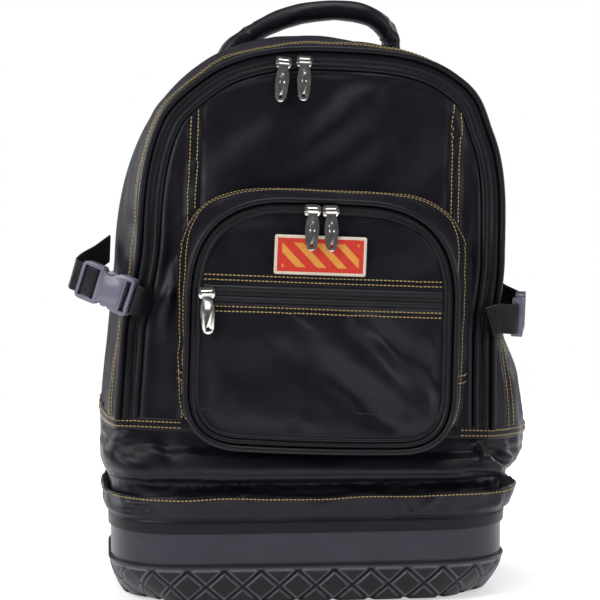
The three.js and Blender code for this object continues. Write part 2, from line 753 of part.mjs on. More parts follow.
function frontPoint(t, inset, lift) {
  const [x, z] = frontArch(t, inset);
  return vec(x, frontY(x, z) - lift, z);
}

function frontPiping() {
  const path = range(ARCH_STEPS).map((t) => frontPoint(t, 0, PIPING_RADIUS + FIT));
  return sweep(path, roundSection(PIPING_RADIUS, PIPING_SIDES), () => FORWARD, false);
}

const BAND_START = CLOTH + FIT;
const ZIP_WALL = 1.6;

// Zip band from its outer to its inner edge: share runs across it, and lift is how far it stands out.
const ZIP_PROFILE = [
  { share: 0.0, lift: 0.2 },
  { share: 0.2, lift: 2.2 },
  { share: 0.48, lift: 2.0 },
  { share: 0.57, lift: 0.3 },
  { share: 0.66, lift: 2.0 },
  { share: 1.0, lift: 1.2 },
];

function mainZip() {
  const across = (pick) => range(ARCH_STEPS).map((t) => ZIP_PROFILE.map(({ share, lift }) => {
    return frontPoint(t, lerp(BAND_START, ZIP_BAND, share), pick(lift));
  }));
  return wall(across((lift) => lift), across(() => -ZIP_WALL), false);
}

// A grid filled in between four edges, each a list of [across, up] pairs.
function patch(bottom, top, left, right) {
  const n = bottom.length - 1;
  const m = left.length - 1;
  return bottom.map((_, i) => left.map((__, j) => {
    const u = i / n;
    const v = j / m;
    return [0, 1].map((k) => lerp(bottom[i][k], top[i][k], v) + lerp(left[j][k], right[j][k], u)
      - lerp(lerp(bottom[0][k], bottom[n][k], u), lerp(top[0][k], top[n][k], u), v));
  }));
}

function archPatch(arch, inset) {
  const left = range(PANEL_UP).map((v) => arch(v * SHOULDER, inset));
  const right = range(PANEL_UP).map((v) => arch(1 - v * SHOULDER, inset));
  const top = range(PANEL_ACROSS).map((u) => arch(lerp(SHOULDER, 1 - SHOULDER, u), inset));
  const bottom = range(PANEL_ACROSS).map((u) => [lerp(left[0][0], right[0][0], u), left[0][1]]);
  return patch(bottom, top, left, right);
}

function sheetOn(grid, surface, thick) {
  const outer = grid.map((row) => row.map(([x, z]) => vec(x, surface(x, z), z)));
  const inner = grid.map((row) => row.map(([x, z]) => vec(x, surface(x, z) + thick, z)));
  return wall(outer, inner, false);
}

add('front_piping', frontPiping(), trim);
add('main_zip', mainZip(), trim);
add('front_panel', sheetOn(archPatch(frontArch, ZIP_BAND + FIT), frontY, CLOTH), cloth);

// Back panel: a pad with two soft channels, from just above the skirt to the top of the back arch

const BACK_PAD_FOOT = SKIRT_TOP + CLOTH;
const BACK_FACE = BACK_Y + FIT + PAD;

function backPadThick(x, z) {
  const across = x / BACK_HALF_WIDTH;
  const channel = Math.exp(-(((Math.abs(across) - 0.36) / 0.07) ** 2));
  return PAD * (1 - 0.35 * channel) * (1 - 0.4 * clamp01(Math.abs(across)) ** 8);
}

function backPanel() {
  const grid = archPatch(backArch, FIT);
  const below = grid.map((row) => [row[0][0], BACK_PAD_FOOT]);
  const full = grid.map((row, i) => [below[i], ...row]);
  const at = (x, z, out) => vec(x, BACK_Y + FIT + out, z);
  const outer = full.map((row) => row.map(([x, z]) => at(x, z, backPadThick(x, z))));
  const inner = full.map((row) => row.map(([x, z]) => at(x, z, 0)));
  return wall(outer, inner, false);
}

add('back_panel', backPanel(), mesh3d);

// Front pocket: a flared side, piping, a zip band all round, the face and its own zip

const POCKET_FOOT = SEAM + POCKET_LIFT;
const POCKET_TOP = POCKET_FOOT + POCKET_HEIGHT;
const FACE_FOOT = POCKET_FOOT - POCKET_SAG;
const FACE_TOP = POCKET_TOP - POCKET_DROP;
const FACE_X = POCKET_X + POCKET_TURN;
const POCKET_EDGE_STEPS = 6;
const POCKET_CORNER_STEPS = 4;

function pocketFaceY(x, z) {
  const up = (z - SEAM) / (FRONT_TOP - SEAM);
  const across = (x - FACE_X) / (POCKET_HALF_WIDTH - POCKET_TAPER);
  const high = (z - FACE_FOOT) / (FACE_TOP - FACE_FOOT);
  const plane = lerp(FRONT_FOOT_Y, FRONT_TOP_Y, up) - CROWN - POCKET_DEPTH;
  const swell = clamp01(1 - across * across) * clamp01(4 * high * (1 - high)) ** 0.5;
  const below = clamp01(8 * (FACE_ZIP_HEIGHT / (FACE_TOP - FACE_FOOT) - 0.04 - high));
  return plane - POCKET_CROWN * swell * (1 - foldSum(POCKET_FOLDS, across, high) * below);
}

const POCKET_BASE = ring({
  low: POCKET_FOOT, high: POCKET_TOP,
  lowHalf: POCKET_FOOT_HALF_WIDTH, highHalf: POCKET_HALF_WIDTH,
  lowRound: POCKET_FOOT_ROUND, highRound: POCKET_TOP_ROUND, bow: 0,
}, POCKET_EDGE_STEPS, POCKET_CORNER_STEPS);

const POCKET_RIM = ring({
  low: FACE_FOOT, high: FACE_TOP,
  lowHalf: POCKET_HALF_WIDTH - POCKET_TAPER, highHalf: POCKET_HALF_WIDTH - POCKET_TAPER,
  lowRound: POCKET_FOOT_ROUND * 1.5, highRound: POCKET_TOP_ROUND, bow: POCKET_SAG / 3, highBow: 0.6,
}, POCKET_EDGE_STEPS, POCKET_CORNER_STEPS);

const pocketBase = (inset) => offsetLoop(POCKET_BASE, -inset);
const pocketRim = (inset) => offsetLoop(POCKET_RIM, -inset);

function pocketSide() {
  const depths = [0, 0.3, 0.75, 1];
  const grid = (inset) => {
    const base = pocketBase(inset);
    const rim = pocketRim(inset);
    return base.map(([x, z], i) => depths.map((s) => {
      const from = vec(x + POCKET_X, frontY(x + POCKET_X, z) - FIT, z);
      const [rx, rz] = rim[i];
      const to = vec(rx + FACE_X, pocketFaceY(rx + FACE_X, rz), rz);
      return from.lerp(to, s);
    }));
  };
  return wall(grid(0), grid(CLOTH), true);
}

function rimPoint([x, z], lift) {
  return vec(x + FACE_X, pocketFaceY(x + FACE_X, z) - lift, z);
}

function pocketPiping() {
  const path = pocketRim(0).map((p) => rimPoint(p, PIPING_RADIUS + FIT));
  return sweep(path, roundSection(PIPING_RADIUS, PIPING_SIDES), () => FORWARD, true);
}

const POCKET_BAND = 11;
const POCKET_BAND_START = CLOTH + FIT + (ZIP_WALL * POCKET_SAG) / POCKET_DEPTH;

function pocketZip() {
  const rims = ZIP_PROFILE.map(({ share }) => pocketRim(lerp(POCKET_BAND_START, POCKET_BAND, share)));
  const grid = (pick) => rims[0].map((_, i) => ZIP_PROFILE.map(({ lift }, j) => rimPoint(rims[j][i], pick(lift))));
  return wall(grid((lift) => lift * 0.8), grid(() => -ZIP_WALL), true);
}

function pocketFaceGrid() {
  const loop = pocketRim(POCKET_BAND + FIT).map(([x, z]) => [x + FACE_X, z]);
  const side = POCKET_EDGE_STEPS + POCKET_CORNER_STEPS;
  const start = POCKET_CORNER_STEPS / 2;
  const edge = (k) => Array.from({ length: side + 1 }, (_, i) => loop[(start + k * side + i) % loop.length]);
  return patch(edge(0), edge(2).reverse(), edge(3).reverse(), edge(1));
}

const FACE_ZIP_Z = FACE_FOOT + FACE_ZIP_HEIGHT;
const FACE_ZIP_HALF_LENGTH = POCKET_HALF_WIDTH - POCKET_TAPER - POCKET_BAND - FACE_ZIP_END;

// A strip that lies on the pocket's face, with its own thickness.
function faceStrip(halfLength, halfWidth, thick, z, steps) {
  const grid = range(steps).map((u) => [-1, 0, 1].map((v) => {
    return [FACE_X + lerp(-halfLength, halfLength, u), z + v * halfWidth];
  }));
  return sheetOn(grid, (x, height) => pocketFaceY(x, height) - STRIP_GAP - thick, thick);
}

function label() {
  const shape = new THREE.Shape();
  const w = LABEL_WIDTH / 2;
  const h = LABEL_HEIGHT / 2;
  const r = LABEL_THICK;
  shape.moveTo(-w + r, -h);
  shape.lineTo(w - r, -h);
  shape.quadraticCurveTo(w, -h, w, -h + r);
  shape.lineTo(w, h - r);
  shape.quadraticCurveTo(w, h, w - r, h);
  shape.lineTo(-w + r, h);
  shape.quadraticCurveTo(-w, h, -w, h - r);
  shape.lineTo(-w, -h + r);
  shape.quadraticCurveTo(-w, -h, -w + r, -h);
  const geometry = extruded(shape, LABEL_THICK, 2);
  geometry.rotateX(Math.PI / 2);
  geometry.translate(LABEL_X, LABEL_SEAT, LABEL_Z);
  return geometry;
}

const LABEL_Z = FACE_ZIP_Z + LABEL_LIFT;
const LABEL_TOP = LABEL_Z + LABEL_HEIGHT / 2 + LABEL_THICK;
const LABEL_SEAT = Math.min(...[-1, 0, 1].flatMap((i) => [-1, 0, 1].map((j) => {
  return pocketFaceY(LABEL_X + (i * LABEL_WIDTH) / 2, LABEL_Z + (j * LABEL_HEIGHT) / 2);
}))) - FIT;

add('pocket_side', pocketSide(), cloth);
add('pocket_piping', pocketPiping(), trim);
add('pocket_zip', pocketZip(), trim);
add('pocket_face', sheetOn(pocketFaceGrid(), pocketFaceY, CLOTH), cloth);
add('face_zip', faceStrip(FACE_ZIP_HALF_LENGTH, FACE_ZIP_HALF_WIDTH, ZIP_WALL, FACE_ZIP_Z, 10), trim);
add('label_patch', label(), patchRed);

// Zip sliders with their pulls. Each slider's base lies on its zip, and its bar carries the pull's knuckle.

const BAR_RADIUS = (BAR * Math.SQRT2) / 2;
const KNUCKLE_HOLE = BAR_RADIUS + BAR_CLEAR;
const KNUCKLE = KNUCKLE_HOLE + PULL_KNUCKLE_WALL;

function slider() {
  const half = SLIDER_LENGTH / 2;
  const bridge = BRIDGE_GAP + SLIDER_BASE;
  const base = box(-half, half, -SLIDER_BASE, 0, -SLIDER_HEIGHT / 2, SLIDER_HEIGHT / 2);
  const post = BAR;
  const posts = box(-half, half, -bridge - BAR / 2, -SLIDER_BASE / 2, -BAR / 2, BAR / 2);
  const window = box(-half + post, half - post, -bridge + BAR / 2, -SLIDER_BASE, -BAR, BAR);
  return geometryFrom(base.add(posts.subtract(window)));
}

// The pull hangs along -Z from its knuckle at the origin.
function pull(length) {
  const side = new THREE.Shape();
  side.absarc(0, 0, KNUCKLE, -Math.PI / 2 + 0.35, Math.PI * 1.5, false);
  side.lineTo(0, -length);
  side.lineTo(PULL_THICK, -length);
  const hole = new THREE.Path();
  hole.absarc(0, 0, KNUCKLE_HOLE, 0, TAU, true);
  side.holes.push(hole);
  const plate = extruded(side, PULL_WIDTH, 6);
  plate.translate(0, 0, -PULL_WIDTH / 2);
  plate.rotateX(Math.PI / 2);
  plate.rotateZ(-Math.PI / 2);
  const front = new THREE.Shape();
  const neck = (SLIDER_LENGTH / 2 - BAR - FIT);
  front.moveTo(-neck, KNUCKLE * 2);
  front.lineTo(-neck, -KNUCKLE);
  front.lineTo(-PULL_WIDTH / 2, -length * 0.4);
  front.lineTo(-PULL_WIDTH * 0.36, -length + PULL_WIDTH * 0.3);
  front.absarc(0, -length + PULL_WIDTH * 0.4, PULL_WIDTH * 0.36, Math.PI, TAU, false);
  front.lineTo(PULL_WIDTH / 2, -length * 0.4);
  front.lineTo(neck, -KNUCKLE);
  front.lineTo(neck, KNUCKLE * 2);
  const eye = new THREE.Path();
  eye.absarc(0, -length + PULL_WIDTH * 0.4, PULL_HOLE, 0, TAU, true);
  front.holes.push(eye);
  const outline = extruded(front, 4 * KNUCKLE, 4);
  outline.rotateX(Math.PI / 2);
  outline.translate(0, 2 * KNUCKLE, 0);
  return geometryFrom(solidOf(plate).intersect(solidOf(outline)));
}

// Where each slider sits: x is a share of the half width of its zip, and turn is in degrees.
const SLIDERS = [
  { name: 'main_left', zip: 'main', x: -0.25, turn: 4 },
  { name: 'main_right', zip: 'main', x: -0.137, turn: 0 },
  { name: 'pocket_left', zip: 'pocket', x: -0.105, turn: 1 },
  { name: 'pocket_right', zip: 'pocket', x: 0.03, turn: -2 },
  { name: 'front', zip: 'face', x: -0.975, turn: -4 },
];

const CHANNEL_SHARE = 0.57; // the zip's teeth across its band
const ZIP_LIFT = 2.2;

// The zip under a slider: its surface, and the height of its teeth at x.
const ZIPS = {
  main: {
    half: FRONT_HALF_WIDTH,
    middle: 0,
    lift: ZIP_LIFT - FIT,
    surface: frontY,
    height: (x) => heightAt(range(200).map((t) => frontArch(t, lerp(BAND_START, ZIP_BAND, CHANNEL_SHARE))), x),
  },
  pocket: {
    half: POCKET_HALF_WIDTH - POCKET_TAPER,
    middle: FACE_X,
    lift: ZIP_LIFT,
    surface: (x, z) => Math.min(pocketFaceY(x, z), z < LABEL_TOP ? LABEL_SEAT - LABEL_THICK : 0),
    height: () => FACE_TOP + 0.6 * (POCKET_SAG / 3) - lerp(POCKET_BAND_START, POCKET_BAND, CHANNEL_SHARE),
  },
  face: {
    half: FACE_ZIP_HALF_LENGTH,
    middle: FACE_X,
    lift: ZIP_WALL + STRIP_GAP,
    surface: pocketFaceY,
    height: () => FACE_ZIP_Z,
  },
};

function heightAt(line, x) {
  const i = line.findIndex((p, k) => k > 0 && line[k - 1][0] <= x && p[0] >= x);
  const a = line[i - 1];
  const b = line[i];
  return lerp(a[1], b[1], (x - a[0]) / (b[0] - a[0]));
}

for (const { name, zip, x, turn } of SLIDERS) {
  const { half, middle, lift, surface, height } = ZIPS[zip];
  const seatX = middle + x * half;
  const seatZ = height(seatX);
  const ends = [-1, 0, 1];
  const under = ends.flatMap((i) => ends.map((j) => {
    return surface(seatX + (i * SLIDER_LENGTH) / 2, seatZ + (j * SLIDER_HEIGHT) / 2);
  }));
  const seatY = Math.min(...under) - lift - FIT;
  const barY = seatY - SLIDER_BASE - BRIDGE_GAP;
  const angles = range(12).map((t) => {
    const drop = lerp(KNUCKLE + 1, PULL_LENGTH, t);
    const reach = barY - (surface(seatX, seatZ - drop) - FIT);
    return Math.atan2(reach, drop);
  });
  const lean = Math.max(0, ...angles);
  const turned = THREE.MathUtils.degToRad(turn);
  const hung = pull(PULL_LENGTH).rotateX(-lean).rotateY(turned).translate(seatX, barY, seatZ);
  const body = slider().rotateY(turned).translate(seatX, seatY, seatZ);
  add(`${name}_slider`, body, metal);
  add(`${name}_pull`, hung, metal);
}

// Webbing, buckles and handle

function curvePoints(points, steps) {
  const curve = new THREE.CatmullRomCurve3(points, false, 'centripetal');
  return curve.getSpacedPoints(steps);
}

// A buckle lies along +X from its socket's end, with its face towards -Y and its width along Z.
const SOCKET_SHARE = 0.58;

function buckleSocket() {
  const end = BUCKLE_LENGTH * SOCKET_SHARE;
  const t = BUCKLE_THICK / 2;
  const w = BUCKLE_WIDTH / 2;
  const shell = box(0, end, -t, t, -w, w);
  const bar = BUCKLE_WALL + BUCKLE_SLOT;
  const slot = box(BUCKLE_WALL, bar, -t - 1, t + 1, -w + BUCKLE_WALL, w - BUCKLE_WALL);
  const hollow = box(bar + BUCKLE_WALL, end + 1, -t + BUCKLE_WALL, t - BUCKLE_WALL, -w + BUCKLE_WALL, w - BUCKLE_WALL);
  const sides = box(end * 0.5, end * 0.85, -t + BUCKLE_WALL, t - BUCKLE_WALL, -w - 1, w + 1);
  return geometryFrom(shell.subtract(slot).subtract(hollow).subtract(sides));
}

function bucklePlug() {
  const start = BUCKLE_LENGTH * SOCKET_SHARE + FIT;
  const t = BUCKLE_THICK / 2 - BUCKLE_WALL / 4;
  const w = BUCKLE_WIDTH / 2;
  const tongue = BUCKLE_THICK / 2 - BUCKLE_WALL - FIT;
  const from = BUCKLE_LENGTH * SOCKET_SHARE * 0.4;
  const armOut = w - BUCKLE_WALL - FIT;
  const body = box(start, BUCKLE_LENGTH, -t, t, -w, w);
  const slotEnd = BUCKLE_LENGTH - BUCKLE_WALL;
  const slot = box(slotEnd - BUCKLE_SLOT, slotEnd, -t - 1, t + 1, -w + BUCKLE_WALL, w - BUCKLE_WALL);
  const guide = box(from, start + 1, -tongue, tongue, -w / 4, w / 4);
  const arms = [-1, 1].map((s) => {
    const edges = [s * armOut, s * (armOut - 2 * BUCKLE_WALL)].sort((a, b) => a - b);
    return box(from, start + 1, -tongue, tongue, edges[0], edges[1]);
  });
  return geometryFrom(body.subtract(slot).add(guide).add(arms[0]).add(arms[1]));
}

// Where each side strap's buckle starts, relative to the edge of the front, and which way it points.
const SIDE_STRAPS = [
  { side: 'left', sign: -1, beyond: 5, before: 15, rise: 7, turn: 28, tilt: 17, climb: 18 },
  { side: 'right', sign: 1, beyond: 14, before: 0, rise: 0, turn: 75, tilt: 6, climb: 8 },
];

// The front arch's edge at a height, on the left (-1) or the right (1).
function frontEdge(sign, z) {
  const side = range(200).map((t) => frontArch(t, 0)).filter(([x]) => x * sign > 0);
  return side.reduce((best, p) => (Math.abs(p[1] - z) < Math.abs(best[1] - z) ? p : best))[0];
}

for (const { side, sign, beyond, before, rise, turn, tilt, climb } of SIDE_STRAPS) {
  const z = SEAM + SIDE_STRAP_HEIGHT + rise;
  const edgeX = frontEdge(sign, z);
  const edgeY = frontY(edgeX, z);
  const start = vec(sign * (FRONT_HALF_WIDTH + beyond), edgeY - before, z);
  const yaw = THREE.MathUtils.degToRad(turn);
  const pitch = THREE.MathUtils.degToRad(tilt);
  const along = vec(sign * Math.cos(yaw) * Math.cos(pitch), Math.sin(yaw) * Math.cos(pitch), Math.sin(pitch));
  const out = vec(sign * Math.sin(yaw), -Math.cos(yaw), 0);
  const width = along.clone().cross(out.clone().negate());
  const placed = new THREE.Matrix4().makeBasis(along, out.clone().negate(), width).setPosition(start);
  add(`${side}_buckle_socket`, buckleSocket().applyMatrix4(placed), buckleBlack);
  add(`${side}_buckle_plug`, bucklePlug().applyMatrix4(placed), buckleBlack);
  const panelX = edgeX - sign * ZIP_BAND * (beyond < 10 ? 1 : 0.4);
  const panelZ = z - Math.abs(start.x - panelX) * Math.tan(pitch);
  const slant = (FRONT_SLOPE * WEB_WIDTH) / 2 + WEB_THICK + 2 * FIT;
  const onBand = frontY(panelX, panelZ) - 2 * PIPING_RADIUS - slant;
  const overPiping = edgeY - 2 * PIPING_RADIUS - slant;
  const near = start.clone().addScaledVector(along, -FIT - WEB_THICK / 2);
  const frontPath = curvePoints([
    vec(panelX, onBand, panelZ),
    ...(beyond > 10 ? [vec(edgeX + sign * WEB_THICK, overPiping, z)] : []),
    near.clone().addScaledVector(along, -WEB_WIDTH / 8),
    near,
  ], 6);
  const webSection = flatSection(WEB_WIDTH, WEB_THICK);
  const turning = (from, to, count) => (i) => from.clone().lerp(to, smooth(i / count));
  add(`${side}_front_web`, sweep(frontPath, webSection, turning(FORWARD, out, 6), false), trim);
  const end = start.clone().addScaledVector(along, BUCKLE_LENGTH + 3 * FIT);
  const wallX = (BACK_HALF_WIDTH + SIDE_SWELL / 7) * sign;
  const backPath = curvePoints([
    end,
    end.clone().addScaledVector(along, WEB_WIDTH / 4),
    vec(lerp(end.x, wallX, 0.45), lerp(end.y, BACK_Y, 0.6), end.z + climb * 0.6),
    vec(wallX + sign * (FIT + WEB_THICK), BACK_Y - WEB_WIDTH / 2, end.z + climb),
  ], 10);
  const aside = vec(sign, 0, 0);
  add(`${side}_back_web`, sweep(backPath, webSection, turning(out, aside, 10), false), trim);
}

// The handle's middle line: across runs from its left foot to its right foot, rise from its feet to
// the top of its grip, and back from leaning forward (0) to lying against the back panel (1).
const HANDLE_LINE = [
  { across: 0.0, rise: 0.0, back: 1.0 },
  { across: 0.025, rise: 0.17, back: 1.0 },
  { across: 0.065, rise: 0.35, back: 1.0 },
  { across: 0.145, rise: 0.53, back: 0.95 },
  { across: 0.24, rise: 0.69, back: 0.7 },
  { across: 0.355, rise: 0.84, back: 0.4 },
  { across: 0.485, rise: 0.95, back: 0.15 },
  { across: 0.66, rise: 1.0, back: 0.0 },
  { across: 0.82, rise: 0.965, back: 0.1 },
  { across: 0.915, rise: 0.86, back: 0.4 },
  { across: 0.98, rise: 0.69, back: 0.85 },
  { across: 1.0, rise: 0.44, back: 1.0 },
  { across: 1.0, rise: 0.0, back: 1.0 },
];

function handle() {
  const behind = BACK_FACE + FIT + HANDLE_RADIUS - HANDLE_SINK;
  const points = HANDLE_LINE.map(({ across, rise, back }) => vec(
    lerp(HANDLE_LEFT, HANDLE_RIGHT, across),
    behind - HANDLE_RADIUS * (1 - back),
    BACK_TOP - HANDLE_LAP + (HANDLE_LAP + HANDLE_RISE) * rise,
  ));
  return sweep(curvePoints(points, 24), roundSection(HANDLE_RADIUS, 8), () => FORWARD, false);
}

add('handle', handle(), cloth);

// Shoulder straps: each hangs from the top of the back panel to its adjuster, and webbing runs on
// down to the panel's lower corner.

// A strap's middle line: down is a share of its length, out of its stand-off, apart of its spacing.
const STRAP_LINE = [
  { down: 0.0, out: 0.0, apart: 0.0 },
  { down: 0.16, out: 0.12, apart: 0.02 },
  { down: 0.4, out: 0.75, apart: 0.14 },
  { down: 0.7, out: 1.0, apart: 0.34 },
  { down: 1.0, out: 0.85, apart: 0.56 },
];

function lock() {
  const w = LOCK_WIDTH / 2;
  const h = LOCK_HEIGHT / 2;
  const t = LOCK_THICK / 2;
  const inside = w - 2 * BUCKLE_WALL;
  const frame = box(-w, w, -t, t, -h, h);
  const upper = box(-inside, inside, -t - 1, t + 1, BUCKLE_WALL / 2, h - BUCKLE_WALL);
  const lower = box(-inside, inside, -t - 1, t + 1, -h + BUCKLE_WALL, -BUCKLE_WALL / 2);
  return geometryFrom(frame.subtract(upper).subtract(lower));
}

for (const [side, sign] of [['left', -1], ['right', 1]]) {
  const topZ = BACK_TOP - STRAP_DROP;
  const nearY = BACK_FACE + FIT + STRAP_THICK / 2;
  const line = STRAP_LINE.map(({ down, out, apart }) => vec(
    sign * STRAP_SPACING * (1 + apart),
    nearY + STRAP_STAND_OFF * out,
    topZ - STRAP_LENGTH * down,
  ));
  const path = curvePoints(line, 10);
  const outward = vec(0, 1, 0);
  const pad = padSection(STRAP_WIDTH, STRAP_THICK);
  add(`${side}_shoulder_strap`, sweep(path, pad, () => outward, false), cloth);
  const end = path[path.length - 1];
  const along = end.clone().sub(path[path.length - 2]).normalize();
  const out = outward.clone().addScaledVector(along, -outward.dot(along)).normalize();
  const lockAt = end.clone().addScaledVector(along, 2 * FIT + LOCK_HEIGHT / 2);
  const frame = new THREE.Matrix4().makeBasis(out.clone().cross(along.clone().negate()), out, along.clone().negate());
  add(`${side}_lock`, lock().applyMatrix4(frame.setPosition(lockAt)), buckleBlack);
  const webTop = lockAt.clone().addScaledVector(along, LOCK_HEIGHT / 2 + FIT + WEB_THICK / 2);
  const corner = vec(sign * BACK_HALF_WIDTH * 0.86, BACK_FACE + FIT + WEB_THICK, BACK_PAD_FOOT + WEB_WIDTH);
  const web = curvePoints([webTop, webTop.clone().addScaledVector(along, WEB_WIDTH / 4),
    webTop.clone().lerp(corner, 0.6), corner], 8);
  add(`${side}_lower_web`, sweep(web, flatSection(WEB_WIDTH, WEB_THICK), () => outward, false), trim);
}

export default pack;
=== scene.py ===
import json
import math

import bmesh
import bpy
import numpy as np
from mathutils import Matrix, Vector
from mathutils.bvhtree import BVHTree


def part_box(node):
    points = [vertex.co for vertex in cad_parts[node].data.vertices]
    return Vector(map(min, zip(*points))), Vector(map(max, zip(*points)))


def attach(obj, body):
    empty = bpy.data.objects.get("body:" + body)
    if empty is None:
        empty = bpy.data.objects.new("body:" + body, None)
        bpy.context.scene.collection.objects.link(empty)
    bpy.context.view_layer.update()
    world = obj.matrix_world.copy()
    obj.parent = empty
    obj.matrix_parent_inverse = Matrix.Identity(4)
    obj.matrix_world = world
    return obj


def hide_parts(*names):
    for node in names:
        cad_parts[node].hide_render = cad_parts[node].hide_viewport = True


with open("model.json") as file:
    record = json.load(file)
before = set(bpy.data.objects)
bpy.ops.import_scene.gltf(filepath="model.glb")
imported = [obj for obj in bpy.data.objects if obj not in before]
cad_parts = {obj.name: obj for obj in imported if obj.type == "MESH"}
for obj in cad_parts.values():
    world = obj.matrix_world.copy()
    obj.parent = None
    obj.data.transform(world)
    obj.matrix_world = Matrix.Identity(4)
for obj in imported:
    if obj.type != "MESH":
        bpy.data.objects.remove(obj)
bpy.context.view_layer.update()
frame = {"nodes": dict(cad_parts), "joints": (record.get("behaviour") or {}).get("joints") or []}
scene = bpy.context.scene
pieces = {}
outsides = {}

# The pack's shapes are worked out in millimetres, standing upright, and then lean as the CAD model does.

# Sizes of the CAD model, in millimetres
FIT = 0.3
CLOTH = 2.0
PAD = 12.0
PIPING = 2.4
TUB_X = -4.0
TUB_HALF_WIDTH = 168.5
TUB_HALF_DEPTH = 98.0
TUB_CORNER = 66.0
TUB_HEIGHT = 74.0
TUB_WALL = 3.0
TUB_BOW = 5.0
TUB_FOOT_INSET = 20.0
TUB_TAPER = 13.0
CORNER_TUCK = 14.0
TREAD_BOTTOM = 1.5
TREAD_HEIGHT = 28.5
TREAD_DEPTH = 2.6
TREAD_BLOCKS = 32
LEDGE = 1.6
SKIRT_LAP = 13.0
SKIRT_HEIGHT = 32.0
SKIRT_FLARE = 8.0
BAND_HEIGHT = 66.0
BAND_ROLL = 17.0
FRONT_HALF_WIDTH = 152.0
FRONT_SPREAD = 5.0
FRONT_SHIFT = 9.0
FRONT_STRAIGHT = 160.0
FRONT_RISE = 160.0
FRONT_ROUND = 2.85
FRONT_FOOT_Y = -84.0
FRONT_TOP_Y = -50.0
CROWN = 9.0
BACK_HALF_WIDTH = 171.0
BACK_SPREAD = 8.0
BACK_STRAIGHT = 130.0
BACK_RISE = 209.0
BACK_ROUND = 2.3
BACK_Y = 90.0
SIDE_SWELL = 22.0
SLOUCH = math.radians(2.3)
ZIP_BAND = 17.0
POCKET_X = 3.0
POCKET_HALF_WIDTH = 128.0
POCKET_FOOT_HALF_WIDTH = 118.0
POCKET_LIFT = 4.0
POCKET_HEIGHT = 199.0
POCKET_TOP_ROUND = 78.0
POCKET_FOOT_ROUND = 30.0
POCKET_DEPTH = 34.0
POCKET_TAPER = 18.0
POCKET_DROP = 11.0
POCKET_TURN = -6.0
POCKET_SAG = 9.0
POCKET_CROWN = 6.0
POCKET_BAND = 11.0
FACE_ZIP_HEIGHT = 122.0
LABEL_X = -7.0
LABEL_WIDTH = 75.0
LABEL_HEIGHT = 32.0
LABEL_LIFT = 33.0
WEB_WIDTH = 25.0
WEB_THICK = 2.0
BUCKLE_LENGTH = 50.0
SIDE_STRAP_HEIGHT = 101.0
HANDLE_RADIUS = 9.0
HANDLE_RISE = 25.0
HANDLE_LAP = 33.0
HANDLE_SINK = 1.6
HANDLE_LEFT = -80.0
HANDLE_RIGHT = 75.0
STRAP_WIDTH = 62.0
STRAP_THICK = 11.0
STRAP_SPACING = 66.0
STRAP_DROP = 47.0
STRAP_LENGTH = 245.0
STRAP_STAND_OFF = 28.0
LOCK_HEIGHT = 24.0

# How much fuller the bag's lower right is than the CAD model's, as in the photograph
RIGHT_FULL = 6.0

SEAM = TUB_HEIGHT + BAND_HEIGHT
SKIRT_FOOT = TUB_HEIGHT - SKIRT_LAP
SKIRT_TOP = SKIRT_FOOT + SKIRT_HEIGHT
FRONT_TOP = SEAM + FRONT_STRAIGHT + FRONT_RISE
BACK_TOP = SEAM + BACK_STRAIGHT + BACK_RISE
BACK_FACE = BACK_Y + FIT + PAD
BACK_PAD_FOOT = SKIRT_TOP + CLOTH
POCKET_FOOT = SEAM + POCKET_LIFT
POCKET_TOP = POCKET_FOOT + POCKET_HEIGHT
FACE_FOOT = POCKET_FOOT - POCKET_SAG
FACE_TOP = POCKET_TOP - POCKET_DROP
FACE_X = POCKET_X + POCKET_TURN
FACE_HALF = POCKET_HALF_WIDTH - POCKET_TAPER
FACE_ZIP_Z = FACE_FOOT + FACE_ZIP_HEIGHT
LABEL_Z = FACE_ZIP_Z + LABEL_LIFT

# Tables of (place, value) pairs, as the CAD model has them
ARCH_STRAY = [(0, -1), (0.24, -0.95), (0.48, -0.08), (0.8, 0.05), (0.93, 0.9), (1, 1.3)]
SWELL_BACK = [(0, 0), (0.07, 0.42), (0.17, 0.82), (0.36, 1), (0.7, 0.72), (1, 0)]
SWELL_LEFT = [(0, 0.28), (0.14, 0.25), (0.28, 0.2), (0.42, 0.14), (1, 0.14)]
SWELL_RIGHT = [(0, 1), (0.14, 0.86), (0.28, 0.4), (0.42, 0.16), (1, 0.16)]
BAND_OUT = [
    (0.006, 0), (0.3, 0), (0.42, 0.35), (0.5, 0.78), (0.6, 1), (0.72, 0.84), (0.86, 0.3), (0.995, 0),
]
ROLL_SHARE = [
    (-0.5, 0), (-0.2, 0.3), (0, 0.55), (0.25, 0.9), (0.75, 1), (0.93, 0.95), (1.02, 0.45), (1.2, 0.3),
    (1.5, 0),
]

# Broad dents of the front and of the pocket's face, as the CAD model has them: x, z, wide, tall, turn, deep
FRONT_DENTS = [
    (-0.10, 0.80, 0.75, 0.075, 0.55, 0.34),
    (0.20, 0.90, 0.60, 0.060, 0.45, -0.30),
    (-0.82, 0.62, 0.16, 0.140, 0.0, 0.40),
    (0.83, 0.66, 0.14, 0.120, 0.0, 0.35),
]
POCKET_DENTS = [
    (0.55, 0.38, 0.55, 0.060, -0.75, 0.75),
    (0.10, 0.33, 0.60, 0.070, -0.55, 0.40),
    (0.72, 0.24, 0.35, 0.050, -0.40, -0.45),
]

